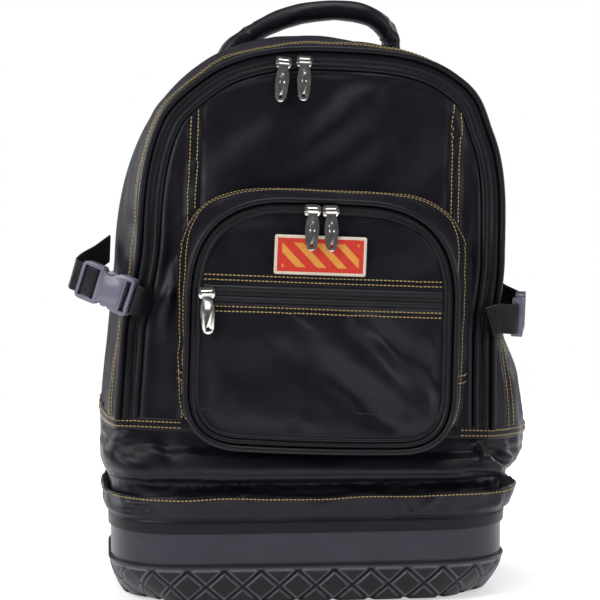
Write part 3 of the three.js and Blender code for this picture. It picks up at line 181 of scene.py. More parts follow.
# Folds of the cloth: from x, z to x, z, its width on its lower and its upper side, and its height
FRONT_FOLDS = [
    (-92, 330, 32, 418, 20, 30, 3.6),
    (-98, 372, -30, 424, 12, 20, -2.4),
    (30, 345, 98, 424, 22, 26, 3.0),
    (-20, 345, 62, 402, 14, 18, -2.4),
    (70, 330, 104, 370, 12, 14, -1.8),
    (-132, 222, -124, 268, 6, 9, 2.6),
    (-143, 262, -118, 290, 5, 8, -2.4),
    (-134, 246, -114, 262, 4, 6, 2.2),
    (-128, 330, -122, 392, 7, 9, 1.6),
    (124, 300, 134, 350, 7, 9, 2.2),
    (118, 262, 130, 318, 6, 8, -2.0),
    (120, 380, 104, 418, 8, 10, 1.6),
    (-60, 428, 60, 436, 9, 9, -1.2),
]
POCKET_FOLDS = [
    (-6, 226, 104, 150, 12, 20, 4.2),
    (26, 236, 117, 178, 9, 15, -3.4),
    (-30, 208, 78, 146, 11, 14, -2.6),
    (34, 176, 84, 144, 7, 10, 2.4),
    (86, 226, 106, 196, 7, 9, 2.0),
    (-96, 214, -30, 238, 20, 20, 1.4),
    (-102, 204, -99, 158, 6, 10, -1.6),
    (-94, 172, -44, 160, 16, 20, 1.4),
    (-10, 138, -13, 158, 5, 7, 1.9),
    (-24, 139, -27, 152, 5, 6, -1.2),
    (68, 140, 66, 158, 5, 7, 1.9),
    (52, 139, 50, 151, 5, 6, -1.2),
    (-92, 296, -36, 318, 14, 18, -1.2),
    (44, 296, 94, 316, 14, 18, 1.3),
    (56, 270, 100, 284, 10, 12, -1.0),
]
BAND_FOLDS = [
    (133, 135, 138, 124, 3.2, 4, 5.0),
    (138, 124, 150, 112, 3.2, 4, 5.5),
    (150, 112, 163, 98, 3, 3.5, 4.5),
    (141, 131, 160, 118, 3.5, 5, -6.0),
    (158, 126, 170, 114, 3.5, 4.5, 4.5),
    (146, 137, 172, 128, 4, 5, 3.0),
    (122, 112, 146, 103, 4, 5, -3.0),
    (-166, 116, -142, 110, 4, 5, 3.2),
    (-172, 128, -156, 136, 5, 5, 2.8),
    (-160, 124, -146, 120, 4, 5, -2.4),
    (-150, 134, -132, 126, 5, 6, 1.8),
    (-130, 136, -120, 118, 6, 7, -2.0),
]
SKIRT_FOLDS = [
    (-168, 80, -136, 84, 3, 4, -2.6),
    (-166, 73, -140, 74, 3.5, 4, 1.6),
    (-160, 88, -140, 88, 3, 3, 1.2),
    (54, 91, 70, 79, 3, 4, 1.8),
    (66, 90, 80, 77, 3, 3.5, -1.8),
    (76, 76, 98, 89, 3, 4, 1.8),
    (96, 90, 104, 79, 3, 3, -1.4),
    (-60, 90, -54, 78, 3, 4, 1.4),
    (-48, 90, -44, 80, 3, 3, -1.0),
    (130, 78, 158, 82, 4, 4, 1.6),
]


def lerp(a, b, t):
    return a + (b - a) * t


def smooth(t):
    t = np.clip(t, 0, 1)
    return t * t * (3 - 2 * t)


def hump(away, wide):
    """1 at a place, fading to 0 away from it."""
    return np.exp(-((away / wide) ** 2))


def table(rows, at):
    """The value at a place, eased from row to row."""
    at = np.asarray(at, float)
    keys = np.array([r[0] for r in rows], float)
    values = np.array([r[1] for r in rows], float)
    i = np.clip(np.searchsorted(keys, at, side="right"), 1, len(keys) - 1)
    t = (at - keys[i - 1]) / (keys[i] - keys[i - 1])
    return lerp(values[i - 1], values[i], smooth(t))


def lattice(ix, iy, iz, seed):
    h = (ix * 374761393 + iy * 668265263 + iz * 1274126177 + seed * 974634777) & 0xFFFFFFFF
    h = ((h ^ (h >> 13)) * 1274126177) & 0xFFFFFFFF
    return ((h ^ (h >> 16)) & 0xFFFF) / 32767.5 - 1


def noise(p, size, seed):
    """Soft noise from -1 to 1 over points in millimetres."""
    q = np.asarray(p, float) / np.asarray(size, float)
    cell = np.floor(q).astype(np.int64)
    w = smooth(q - cell)
    total = 0
    for a in (0, 1):
        for b in (0, 1):
            for c in (0, 1):
                share = (w[..., 0] if a else 1 - w[..., 0]) * (w[..., 1] if b else 1 - w[..., 1])
                share = share * (w[..., 2] if c else 1 - w[..., 2])
                total = total + share * lattice(cell[..., 0] + a, cell[..., 1] + b, cell[..., 2] + c, seed)
    return total


def rumple(p, size, seed):
    """Two sizes of noise, for the small unevenness of cloth."""
    size = np.asarray(size, float)
    return noise(p, size, seed) * 0.65 + noise(p, size * 0.45, seed + 1) * 0.35


def dents(rows, x, z):
    total = 0
    for fx, fz, wide, tall, turn, deep in rows:
        along = ((x - fx) * math.cos(turn) + (z - fz) * math.sin(turn)) / wide
        across = ((z - fz) * math.cos(turn) - (x - fx) * math.sin(turn)) / tall
        total = total + deep * np.exp(-along * along - across * across)
    return total


def folds(rows, x, z):
    total = 0
    for x0, z0, x1, z1, low, high, out in rows:
        dx, dz = x1 - x0, z1 - z0
        length = math.hypot(dx, dz)
        s = np.clip(((x - x0) * dx + (z - z0) * dz) / length**2, 0, 1)
        side = ((z - z0) * dx - (x - x0) * dz) * (1 if dx >= 0 else -1)
        away = np.hypot(x - x0 - dx * s, z - z0 - dz * s) / np.where(side > 0, high, low)
        total = total + out * np.exp(-away * away) * (1 - 0.5 * (2 * s - 1) ** 2)
    return total


def leaned(points):
    """Upright millimetres to the pack's place in metres."""
    p = np.asarray(points, float)
    angle = SLOUCH * smooth((p[..., 2] - SKIRT_TOP) / (SEAM - SKIRT_TOP))
    dz = p[..., 2] - SEAM
    x = p[..., 0] * np.cos(angle) + dz * np.sin(angle)
    z = SEAM - p[..., 0] * np.sin(angle) + dz * np.cos(angle)
    return np.stack([x, p[..., 1], z], -1) / 1000


# Surfaces of the pack


def front_y(x, z):
    up = (z - SEAM) / (FRONT_TOP - SEAM)
    across = x / FRONT_HALF_WIDTH
    plane = lerp(FRONT_FOOT_Y, FRONT_TOP_Y, up)
    swell = np.clip(1 - across * across, 0, 1) * (1 - 0.55 * np.clip(up, 0, 1) ** 3)
    room = np.clip(1 - np.abs(across) ** 6, 0, 1) * np.clip(8 * (1 - up), 0, 1) * np.clip(6 * up, 0, 1)
    return plane - CROWN * (swell - dents(FRONT_DENTS, across, up) * room)


def face_y(x, z):
    up = (z - SEAM) / (FRONT_TOP - SEAM)
    across = (x - FACE_X) / FACE_HALF
    high = (z - FACE_FOOT) / (FACE_TOP - FACE_FOOT)
    plane = lerp(FRONT_FOOT_Y, FRONT_TOP_Y, up) - CROWN - POCKET_DEPTH
    swell = np.clip(1 - across * across, 0, 1) * np.clip(4 * high * (1 - high), 0, 1) ** 0.5
    below = np.clip(8 * (FACE_ZIP_HEIGHT / (FACE_TOP - FACE_FOOT) - 0.04 - high), 0, 1)
    return plane - POCKET_CROWN * swell * (1 - dents(POCKET_DENTS, across, high) * below)


def arch_outline(half, spread, straight, rise, round_, shift):
    """An arch from its left foot over its top to its right foot: (t, inset) to x and z."""
    foot = np.arange(40) / 40
    left = np.stack([-lerp(half + spread, half, foot), SEAM + straight * foot], -1)
    a = np.pi * np.arange(161) / 160
    x = -np.sign(np.cos(a)) * half * np.abs(np.cos(a)) ** (2 / round_)
    top = np.stack([x, SEAM + straight + rise * np.abs(np.sin(a)) ** (2 / round_)], -1)
    right = left[::-1] * [-1, 1]
    line = np.concatenate([left, top, right])
    line[:, 0] += shift * table(ARCH_STRAY, (line[:, 1] - SEAM) / (straight + rise))
    reach = np.concatenate([[0], np.cumsum(np.hypot(*np.diff(line, axis=0).T))])

    def place(t):
        want = np.clip(t, 0, 1) * reach[-1]
        return np.interp(want, reach, line[:, 0]), np.interp(want, reach, line[:, 1])

    def at(t, inset=0.0):
        x, z = place(t)
        bx, bz = place(np.asarray(t) - 0.012)
        ax, az = place(np.asarray(t) + 0.012)
        length = np.hypot(ax - bx, az - bz)
        return x + (az - bz) / length * inset, np.maximum(SEAM, z - (ax - bx) / length * inset)

    return at


front_arch = arch_outline(
    FRONT_HALF_WIDTH, FRONT_SPREAD, FRONT_STRAIGHT, FRONT_RISE, FRONT_ROUND, FRONT_SHIFT,
)
back_arch = arch_outline(BACK_HALF_WIDTH, BACK_SPREAD, BACK_STRAIGHT, BACK_RISE, BACK_ROUND, 0)
PANEL_UP = 12
PANEL_ACROSS = 11
SHOULDER = PANEL_UP / (2 * PANEL_UP + PANEL_ACROSS)


def side_swell(back, up, x):
    side = smooth((x / BACK_HALF_WIDTH + 1) / 2)
    swell = SIDE_SWELL * lerp(table(SWELL_LEFT, up), table(SWELL_RIGHT, up), side)
    full = RIGHT_FULL * smooth(x / BACK_HALF_WIDTH * 2 - 1) * hump(np.asarray(up), 0.2)
    return (swell + full) * table(SWELL_BACK, back)


def gusset(t, s, lift=0.0):
    """The side and top wall: t runs over the arches, and s from the front to the back."""
    t, s = np.broadcast_arrays(np.asarray(t, float), np.asarray(s, float))
    fx, fz = front_arch(t)
    bx, bz = back_arch(t)
    ix, iz = front_arch(t, 1.0)
    away = np.hypot(fx - ix, fz - iz)
    nx, nz = (fx - ix) / away, (fz - iz) / away
    swell = side_swell(s, (bz - SEAM) / (BACK_TOP - SEAM), bx) + lift
    z = np.maximum(SEAM, lerp(fz, bz, s) + nz * swell)
    return np.stack([lerp(fx, bx, s) + nx * swell, lerp(front_y(fx, fz), BACK_Y, s), z], -1)


def on_front(x, z, lift=0.0):
    return np.stack([x, front_y(x, z) - lift, z], -1)


def on_face(x, z, lift=0.0):
    return np.stack([x, face_y(x, z) - lift, z], -1)


def arch_patch(arch, inset, nu, nv):
    """A grid of x and z filled in between an arch's two sides, its top and its foot."""
    u = np.linspace(0, 1, nu + 1)[:, None]
    v = np.linspace(0, 1, nv + 1)[None, :]
    left = np.stack(arch(v * SHOULDER, inset), -1)
    right = np.stack(arch(1 - v * SHOULDER, inset), -1)
    top = np.stack(arch(lerp(SHOULDER, 1 - SHOULDER, u), inset), -1)
    foot_x = lerp(left[0, 0, 0], right[0, 0, 0], u)
    foot = np.stack([foot_x, np.full_like(foot_x, left[0, 0, 1])], -1)
    return coons(foot, top, left, right, u[..., None], v[..., None])


def coons(low, high, left, right, u, v):
    corners = lerp(lerp(low[:1], low[-1:], u), lerp(high[:1], high[-1:], u), v)
    return lerp(low, high, v) + lerp(left, right, u) - corners


def ring(low, high, low_half, high_half, low_round, high_round, bow, high_bow, edge, corner):
    """A rounded four-sided loop of x and height, as the CAD model makes it."""
    corners = [(-low_half, low, low_round), (low_half, low, low_round),
               (high_half, high, high_round), (-high_half, high, high_round)]
    points = []
    for k, (cx, cz, turn) in enumerate(corners):
        nx, nz, next_turn = corners[(k + 1) % 4]
        lx, lz, _ = corners[(k + 3) % 4]
        here, after, last = np.array([cx, cz]), np.array([nx, nz]), np.array([lx, lz])
        start = towards(here, last, turn)
        end = towards(here, after, turn)
        t = np.arange(corner)[:, None] / corner
        points.append(lerp(lerp(start, here, t), lerp(here, end, t), t))
        far = towards(after, here, next_turn)
        points.append(lerp(end, far, np.arange(edge)[:, None] / edge))
    p = np.concatenate(points)
    bulge = bow * np.clip(1 - (p[:, 0] / low_half) ** 2, 0, 1)
    middle = (low + high) / 2
    share = (p[:, 1] - middle) / (high - middle)
    p[:, 1] += np.where(share < 0, bulge * share, bulge * share * high_bow)
    return p


def towards(a, b, distance):
    return lerp(a, b, min(0.5, distance / math.hypot(*(b - a))))


def offset(loop, distance):
    """A closed loop moved outward."""
    step = np.roll(loop, -1, 0) - np.roll(loop, 1, 0)
    length = np.hypot(step[:, 0], step[:, 1])[:, None]
    return loop + np.stack([step[:, 1], -step[:, 0]], -1) / length * distance


def evenly(loop, count):
    closed = np.concatenate([loop, loop[:1]])
    reach = np.concatenate([[0], np.cumsum(np.hypot(*np.diff(closed, axis=0).T))])
    want = reach[-1] * np.arange(count) / count
    return np.stack([np.interp(want, reach, closed[:, k]) for k in (0, 1)], -1)


# Meshes


def joined(grid):
    """A grid whose first column is repeated after its last, for a piece that runs round."""
    return np.concatenate([grid, grid[:1]])


def faces_back(grid, closed=False):
    return normals(grid, closed)[..., 1].mean() > 0


def normals(grid, closed=False):
    if closed:
        wide = np.concatenate([grid[-2:-1], grid, grid[1:2]])
        du = wide[2:] - wide[:-2]
    else:
        du = np.gradient(grid, axis=0)
    n = np.cross(du, np.gradient(grid, axis=1))
    return n / np.maximum(np.linalg.norm(n, axis=-1, keepdims=True), 1e-9)


def lengths(grid, axis):
    """How far along the cloth each line of the grid lies, in metres."""
    step = np.linalg.norm(np.diff(grid, axis=axis), axis=-1).mean(axis=1 - axis)
    return np.concatenate([[0], np.cumsum(step)]) / 1000


def mesh_piece(name, points, faces, material, slot, body="pack", uv=None, sharp=40, lean=True,
               merge=False, tone=None):
    """A piece from points in upright millimetres. Its faces are turned outward."""
    place = leaned(points) if lean else np.asarray(points) / 1000
    mesh = bpy.data.meshes.new(name)
    mesh.from_pydata(place.tolist(), [], faces)
    if uv is not None:
        layer = mesh.uv_layers.new(name="UVMap")
        layer.data.foreach_set("uv", np.asarray(uv, np.float32)[flat_corners(faces)].ravel())
    if tone is not None:
        mark = mesh.color_attributes.new("tone", "FLOAT_COLOR", "POINT")
        full = np.ones((len(place), 4), np.float32)
        full[:, :2] = tone
        mark.data.foreach_set("color", full.ravel())
    edit = bmesh.new()
    edit.from_mesh(mesh)
    if merge:
        bmesh.ops.remove_doubles(edit, verts=edit.verts, dist=2e-6)
    if edit.calc_volume(signed=True) < 0:
        bmesh.ops.reverse_faces(edit, faces=edit.faces)
    edit.to_mesh(mesh)
    edit.free()
    mesh.shade_smooth()
    mesh.set_sharp_from_angle(angle=math.radians(sharp))
    piece = bpy.data.objects.new(name, mesh)
    scene.collection.objects.link(piece)
    mesh.materials.append(material)
    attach(piece, body)
    return piece


def flat_corners(faces):
    out = []
    for face in faces:
        out.extend(face)
    return np.array(out)


def grid_faces(n, m, start=0, turned=False):
    i, j = np.meshgrid(np.arange(n - 1), np.arange(m - 1), indexing="ij")
    a = start + (i * m + j).ravel()
    quads = np.stack([a, a + m, a + m + 1, a + 1], -1)
    return quads[:, ::-1] if turned else quads


def wall_piece(name, outer, inner, material, slot, closed=False, uv=None, **more):
    """A closed wall between two grids of points."""
    n, m = outer.shape[:2]
    side, last = n * m, (n - 1) * m
    j, first = np.arange(m - 1), np.arange(n - 1) * m
    end = first + m - 1
    faces = [grid_faces(n, m), grid_faces(n, m, side, True)]
    if not closed:
        faces.append(np.stack([j, j + 1, side + j + 1, side + j], -1))
        faces.append(np.stack([last + j + 1, last + j, side + last + j, side + last + j + 1], -1))
    faces.append(np.stack([first + m, first, side + first, side + first + m], -1))
    faces.append(np.stack([end, end + m, side + end + m, side + end], -1))
    if uv is None:
        u, v = np.meshgrid(lengths(outer, 0), lengths(outer, 1), indexing="ij")
        uv = np.stack([u.ravel(), v.ravel()], -1)
    points = np.concatenate([outer.reshape(-1, 3), inner.reshape(-1, 3)])
    return mesh_piece(name, points, np.concatenate(faces).tolist(), material, slot,
                      uv=np.concatenate([uv, uv]), merge=closed, **more)


def cloth_piece(name, outer, thick, material, slot, closed=False, flip=False, **more):
    """A wall of cloth: outer is a grid of points of its outside, and thick how far in its inside lies."""
    out = normals(outer, closed) * (-1 if flip else 1)
    outsides[name] = (leaned(outer).reshape(-1, 3), grid_faces(*outer.shape[:2], turned=flip))
    return wall_piece(name, outer, outer - out * thick, material, slot, closed, **more)


def spaced(points, count):
    """Even points on a smooth curve through a few."""
    p = np.asarray(points, float)
    ends = np.concatenate([[2 * p[0] - p[1]], p, [2 * p[-1] - p[-2]]])
    out = []
    for k in range(len(p) - 1):
        a, b, c, d = ends[k:k + 4]
        t = [0.0]
        for q, r in ((a, b), (b, c), (c, d)):
            t.append(t[-1] + max(np.linalg.norm(r - q) ** 0.5, 1e-4))
        at = np.linspace(t[1], t[2], 40, endpoint=False)[:, None]
        ab = a * (t[1] - at) / (t[1] - t[0]) + b * (at - t[0]) / (t[1] - t[0])
        bc = b * (t[2] - at) / (t[2] - t[1]) + c * (at - t[1]) / (t[2] - t[1])
        cd = c * (t[3] - at) / (t[3] - t[2]) + d * (at - t[2]) / (t[3] - t[2])
        abc = ab * (t[2] - at) / (t[2] - t[0]) + bc * (at - t[0]) / (t[2] - t[0])
        bcd = bc * (t[3] - at) / (t[3] - t[1]) + cd * (at - t[1]) / (t[3] - t[1])
        out.append(abc * (t[2] - at) / (t[2] - t[1]) + bcd * (at - t[1]) / (t[2] - t[1]))
    line = np.concatenate(out + [p[-1:]])
    return resample(line, count)


def resample(line, count):
    reach = np.concatenate([[0], np.cumsum(np.linalg.norm(np.diff(line, axis=0), axis=1))])
    want = np.linspace(0, reach[-1], count + 1)
    return np.stack([np.interp(want, reach, line[:, k]) for k in range(3)], -1)


def frames(path, out, closed=False):
    """Along, side and outward directions at each point of a path."""
    if closed:
        along = np.roll(path, -1, 0) - np.roll(path, 1, 0)
    else:
        along = np.gradient(path, axis=0)
    along /= np.linalg.norm(along, axis=1, keepdims=True)
    out = np.broadcast_to(np.asarray(out, float), path.shape).copy()
    out -= along * (out * along).sum(1, keepdims=True)
    out /= np.linalg.norm(out, axis=1, keepdims=True)
    return along, np.cross(along, out), out


def swept(name, path, section, out, material, slot, closed=False, **more):
    """A bar along a path. The section holds (side, out) pairs, one loop for all stations or one each."""
    section = np.asarray(section, float)
    if section.ndim == 2:
        section = np.broadcast_to(section, (len(path),) + section.shape)
    _, side, outward = frames(path, out, closed)
    grid = path[:, None] + side[:, None] * section[..., :1] + outward[:, None] * section[..., 1:]
    n, m = grid.shape[:2]
    i, j = np.meshgrid(np.arange(n if closed else n - 1), np.arange(m), indexing="ij")
    a = (i % n) * m
    b = ((i + 1) % n) * m
    faces = np.stack([a + j, b + j, b + (j + 1) % m, a + (j + 1) % m], -1).reshape(-1, 4).tolist()
    if not closed:
        faces.append(list(range(m)))
        faces.append(list(range((n - 1) * m, n * m))[::-1])
    u = np.concatenate([[0], np.cumsum(np.linalg.norm(np.diff(path, axis=0), axis=1))]) / 1000
    around = np.linalg.norm(np.diff(section[0], axis=0), axis=1)
    v = np.concatenate([[0], np.cumsum(around)]) / 1000
    uu, vv = np.meshgrid(u, v, indexing="ij")
    uv = np.stack([uu.ravel(), vv.ravel()], -1)
    return mesh_piece(name, grid.reshape(-1, 3), faces, material, slot, uv=uv, **more)


def round_section(radius, sides):
    a = 2 * np.pi * (np.arange(sides) + 0.5) / sides
    return np.stack([radius * np.cos(a), radius * np.sin(a)], -1)


def many(name, centres, along, out, size, material, slot, **more):
    """Small rounded grains, such as stitches and teeth. Size is half of length, width and height."""
    rings = [(-1.0, 0.0), (-0.72, 0.72), (0.0, 1.0), (0.72, 0.72), (1.0, 0.0)]
    sides = 6
    base = [(rings[0][0], 0.0, 0.0)]
    for x, r in rings[1:-1]:
        for k in range(sides):
            a = 2 * math.pi * k / sides
            base.append((x, r * math.cos(a), r * math.sin(a)))
    base.append((1.0, 0.0, 0.0))
    base = np.array(base)
    faces = [[0, 1 + (k + 1) % sides, 1 + k] for k in range(sides)]
    for r in range(2):
        for k in range(sides):
            a, b = 1 + r * sides + k, 1 + r * sides + (k + 1) % sides
            faces.append([a, b, b + sides, a + sides])
    last = len(base) - 1
    faces += [[last, last - sides + k, last - sides + (k + 1) % sides] for k in range(sides)]
    side = np.cross(out, along)
    half = np.broadcast_to(np.asarray(size, float), (len(centres), 3))
    grid = centres[:, None] + along[:, None] * (base[:, 0] * half[:, :1])[..., None]
    grid = grid + side[:, None] * (base[:, 1] * half[:, 1:2])[..., None]
    grid = grid + out[:, None] * (base[:, 2] * half[:, 2:])[..., None]
    all_faces = [[c + k * len(base) for c in face] for k in range(len(centres)) for face in faces]
    return mesh_piece(name, grid.reshape(-1, 3), all_faces, material, slot, **more)


# Materials


def shader(name, base, rough, metal=0.0, specular=0.5):
    material = bpy.data.materials.new(name)
    material.use_nodes = True
    tree = material.node_tree
    main = tree.nodes["Principled BSDF"]
    main.inputs["Base Color"].default_value = (*base, 1)
    main.inputs["Roughness"].default_value = rough
    main.inputs["Metallic"].default_value = metal
    main.inputs["Specular IOR Level"].default_value = specular
    return material, tree, main


def node(tree, kind, inputs=None, **settings):
    made = tree.nodes.new(kind)
    for key, value in settings.items():
        setattr(made, key, value)
    for key, value in (inputs or {}).items():
        if isinstance(value, bpy.types.NodeSocket):
            tree.links.new(value, made.inputs[key])
        else:
            made.inputs[key].default_value = value
    return made


def ramp(tree, factor, low, high, start=0.0, end=1.0):
    made = node(tree, "ShaderNodeValToRGB", {"Fac": factor})
    made.color_ramp.elements[0].color = (*low, 1)
    made.color_ramp.elements[1].color = (*high, 1)
    made.color_ramp.elements[0].position = start
    made.color_ramp.elements[1].position = end
    return made.outputs["Color"]


def clouds(tree, place, scale, detail, **more):
    inputs = {"Vector": place, "Scale": scale, "Detail": detail, **more}
    return node(tree, "ShaderNodeTexNoise", inputs).outputs["Fac"]


def waves(tree, place, scale, way, **more):
    inputs = {"Vector": place, "Scale": scale, **more}
    return node(tree, "ShaderNodeTexWave", inputs, bands_direction=way).outputs["Fac"]


def worked(tree, operation, a, b=0.0):
    return node(tree, "ShaderNodeMath", {0: a, 1: b}, operation=operation).outputs[0]


def blended(tree, a, b, share=0.5):
    return node(tree, "ShaderNodeMix", {0: share, 2: a, 3: b}).outputs[0]


def ranged(tree, value, to=(0.0, 1.0), start=(0.0, 1.0)):
    inputs = {"Value": value, "From Min": start[0], "From Max": start[1], "To Min": to[0], "To Max": to[1]}
    return node(tree, "ShaderNodeMapRange", inputs).outputs["Result"]


def object_place(tree):
    return node(tree, "ShaderNodeTexCoord").outputs["Object"]


def bumped(tree, main, height, depth, strength):
    bump = node(tree, "ShaderNodeBump", {"Height": height, "Distance": depth, "Strength": strength})
    tree.links.new(bump.outputs["Normal"], main.inputs["Normal"])


def woven(name, base, light, rough, weave, depth, sheen=0.0, tint=(1, 1, 1), specular=0.5, patchy=55.0):
    """Woven cloth: threads of a pitch in metres, uneven colour, and soft wear."""
    material, tree, main = shader(name, base, rough, specular=specular)
    main.inputs["Sheen Weight"].default_value = sheen
    main.inputs["Sheen Roughness"].default_value = 0.45
    main.inputs["Sheen Tint"].default_value = (*tint, 1)
    uv = node(tree, "ShaderNodeTexCoord").outputs["UV"]
    scale = 1 / weave / 6.2832
    warp, weft = (waves(tree, uv, scale, way, Distortion=0.6, Detail=1.0) for way in ("X", "Y"))
    threads = worked(tree, "MULTIPLY", warp, weft)
    cloud = clouds(tree, object_place(tree), patchy, 4.0)
    fine = clouds(tree, object_place(tree), 900.0, 3.0)
    colour = ramp(tree, blended(tree, cloud, threads, 0.55), base, light, 0.15, 0.85)
    tree.links.new(colour, main.inputs["Base Color"])
    tree.links.new(ranged(tree, cloud, (rough - 0.07, rough + 0.09)), main.inputs["Roughness"])
    bumped(tree, main, worked(tree, "ADD", threads, fine), depth, 0.6)
    return material


# A cloth's two colours are its shaded and its lit threads. Its roughness, and its weave's pitch and depth
# in metres, come after them.
nylon = woven("nylon", (0.0042, 0.0036, 0.0062), (0.0085, 0.0074, 0.0125), 0.37, 0.0007, 0.00012,
              sheen=0.02, tint=(0.8, 0.74, 1.0), specular=0.21)
skirt_cloth = woven("skirt_cloth", (0.006, 0.0052, 0.009), (0.0125, 0.011, 0.018), 0.4, 0.0008, 0.00014,
                    sheen=0.03, tint=(0.82, 0.78, 1.0), specular=0.19)
tape = woven("tape", (0.003, 0.0026, 0.0044), (0.0065, 0.0057, 0.0095), 0.42, 0.0005, 0.0001,
             sheen=0.015, tint=(0.85, 0.8, 1.0), specular=0.24)
webbing = woven("webbing", (0.003, 0.0028, 0.0042), (0.008, 0.0074, 0.011), 0.46, 0.0011, 0.0003,
                sheen=0.02, tint=(0.85, 0.82, 1.0), specular=0.22)
mesh_cloth = woven("mesh_cloth", (0.008, 0.008, 0.01), (0.035, 0.035, 0.042), 0.7, 0.0026, 0.0006,
                   sheen=0.3, specular=0.3)
thread = woven("thread", (0.3, 0.215, 0.07), (0.6, 0.46, 0.18), 0.5, 0.0009, 0.0001,
               sheen=0.2, specular=0.4, patchy=300.0)


def toned(material, dark, worn):
    """Mixes a darker and then a lighter pair of colours in where the mesh's tone marks them; the lighter pair
    is a painted highlight.
    """
    tree = material.node_tree
    main = tree.nodes["Principled BSDF"]
    colour = main.inputs["Base Color"].links[0].from_socket
    mark = node(tree, "ShaderNodeAttribute", attribute_name="tone")
    marks = node(tree, "ShaderNodeSeparateColor", {"Color": mark.outputs["Color"]})
    cloud = node(tree, "ShaderNodeTexNoise", {"Scale": 120.0, "Detail": 5.0})
    for share, (low, high) in (("Red", dark), ("Green", worn)):
        mixed = node(tree, "ShaderNodeMix", {"Factor": marks.outputs[share], "A": colour}, data_type="RGBA")
        tree.links.new(ramp(tree, cloud.outputs["Fac"], low, high, 0.3, 0.7), mixed.inputs["B"])
        colour = mixed.outputs["Result"]
    tree.links.new(colour, main.inputs["Base Color"])


SKIRT_DARK = ((0.003, 0.0028, 0.0046), (0.007, 0.0062, 0.01))
# Painted highlight for the line along the top edge of the skirt's binding.
SKIRT_PAINTED_HIGHLIGHT = ((0.014, 0.012, 0.019), (0.024, 0.021, 0.032))
TREAD_DARK = ((0.002, 0.002, 0.0028), (0.0045, 0.0045, 0.006))
# Painted highlight for the edges of the tread's grooves and for its top edge.
TREAD_PAINTED_HIGHLIGHT = ((0.1, 0.098, 0.115), (0.2, 0.195, 0.22))
toned(skirt_cloth, SKIRT_DARK, SKIRT_PAINTED_HIGHLIGHT)


def moulded(name, base, light, rough, grain, depth, specular=0.5):
    """Moulded plastic: a fine grain, soft scuffs and uneven gloss."""
    material, tree, main = shader(name, base, rough, specular=specular)
    place = object_place(tree)
    cloud = clouds(tree, place, 26.0, 6.0, Roughness=0.6)
    pits = clouds(tree, place, grain, 2.0)
    drawn = node(tree, "ShaderNodeMapping", {"Vector": place, "Scale": (9.0, 9.0, 260.0)})
    scuffs = clouds(tree, drawn.outputs["Vector"], 3.0, 5.0, Roughness=0.7)
    colour = ramp(tree, blended(tree, cloud, scuffs), base, light, 0.3, 0.75)
    tree.links.new(colour, main.inputs["Base Color"])
    tree.links.new(ranged(tree, scuffs, (rough - 0.1, rough + 0.12)), main.inputs["Roughness"])
    bumped(tree, main, pits, depth, 0.5)
    return material


tub_plastic = moulded("tub_plastic", (0.021, 0.0195, 0.028), (0.04, 0.037, 0.051), 0.36, 1500.0, 0.0001,
                      specular=0.26)
toned(tub_plastic, TREAD_DARK, TREAD_PAINTED_HIGHLIGHT)
# The buckles are black plastic; their base colour is lightened to a lilac grey as a painted reflection.
buckle_plastic = moulded("buckle_plastic", (0.1, 0.09, 0.13), (0.17, 0.155, 0.21), 0.32, 1200.0, 0.00004)
lock_plastic = moulded("lock_plastic", (0.012, 0.012, 0.015), (0.028, 0.027, 0.034), 0.34, 1200.0, 0.00004)
coil = moulded("coil", (0.012, 0.012, 0.014), (0.03, 0.03, 0.035), 0.34, 900.0, 0.00003)


def nickel_plate():
    material, tree, main = shader("nickel_plate", (0.72, 0.69, 0.64), 0.16, metal=1.0)
    cloud = clouds(tree, object_place(tree), 180.0, 4.0)
    colour = ramp(tree, cloud, (0.6, 0.57, 0.52), (0.8, 0.77, 0.73), 0.3, 0.7)
    tree.links.new(colour, main.inputs["Base Color"])
    tree.links.new(ranged(tree, cloud, (0.1, 0.26)), main.inputs["Roughness"])
    bumped(tree, main, cloud, 0.0001, 0.25)
    return material


nickel = nickel_plate()

# Base tub


def tub_loop(edge=60, corner=40):
    plan = ring(-TUB_HALF_DEPTH, TUB_HALF_DEPTH, TUB_HALF_WIDTH, TUB_HALF_WIDTH, TUB_CORNER, TUB_CORNER,
                TUB_BOW, 1, edge, corner)
    return plan + [TUB_X, 0]


def block_pitch():
    """How far apart the CAD model's stations of its tread lie."""
    stations = evenly(tub_loop(12, 10), TREAD_BLOCKS * 2)
    return np.hypot(*(stations[1] - stations[0]))


TREAD_TOP = TREAD_BOTTOM + TREAD_HEIGHT


def toward_foot(z):
    return np.clip((TREAD_TOP - z) / TREAD_TOP, 0, 1) ** 1.6


def tub_levels():
    """Heights of the tub's rows: close together over the tread and its ledge."""
    return np.concatenate([
        [0.0, 0.3, 0.8, 1.4], np.linspace(2.0, TREAD_TOP + 0.4, 42),
        TREAD_TOP + np.array([0.9, 1.3, 2.2, 3.0, 3.3, 3.7, 4.2, 4.9, 6.0]),
        np.linspace(TREAD_TOP + 9, TUB_HEIGHT, 9),
    ])


def from_groove(zz, ss):
    """Distance in millimetres to the nearest of the two crossing sets of grooves."""
    half = TREAD_HEIGHT / 2
    up = (zz - (TREAD_BOTTOM + half)) / half
    steep = math.hypot(1 / block_pitch(), 1 / half)
    near = []
    for slope in (1, -1):
        line = (ss + slope * up) / 2
        near.append(np.abs(line - np.round(line)) * 2 / steep)
    return np.minimum(near[0], near[1])


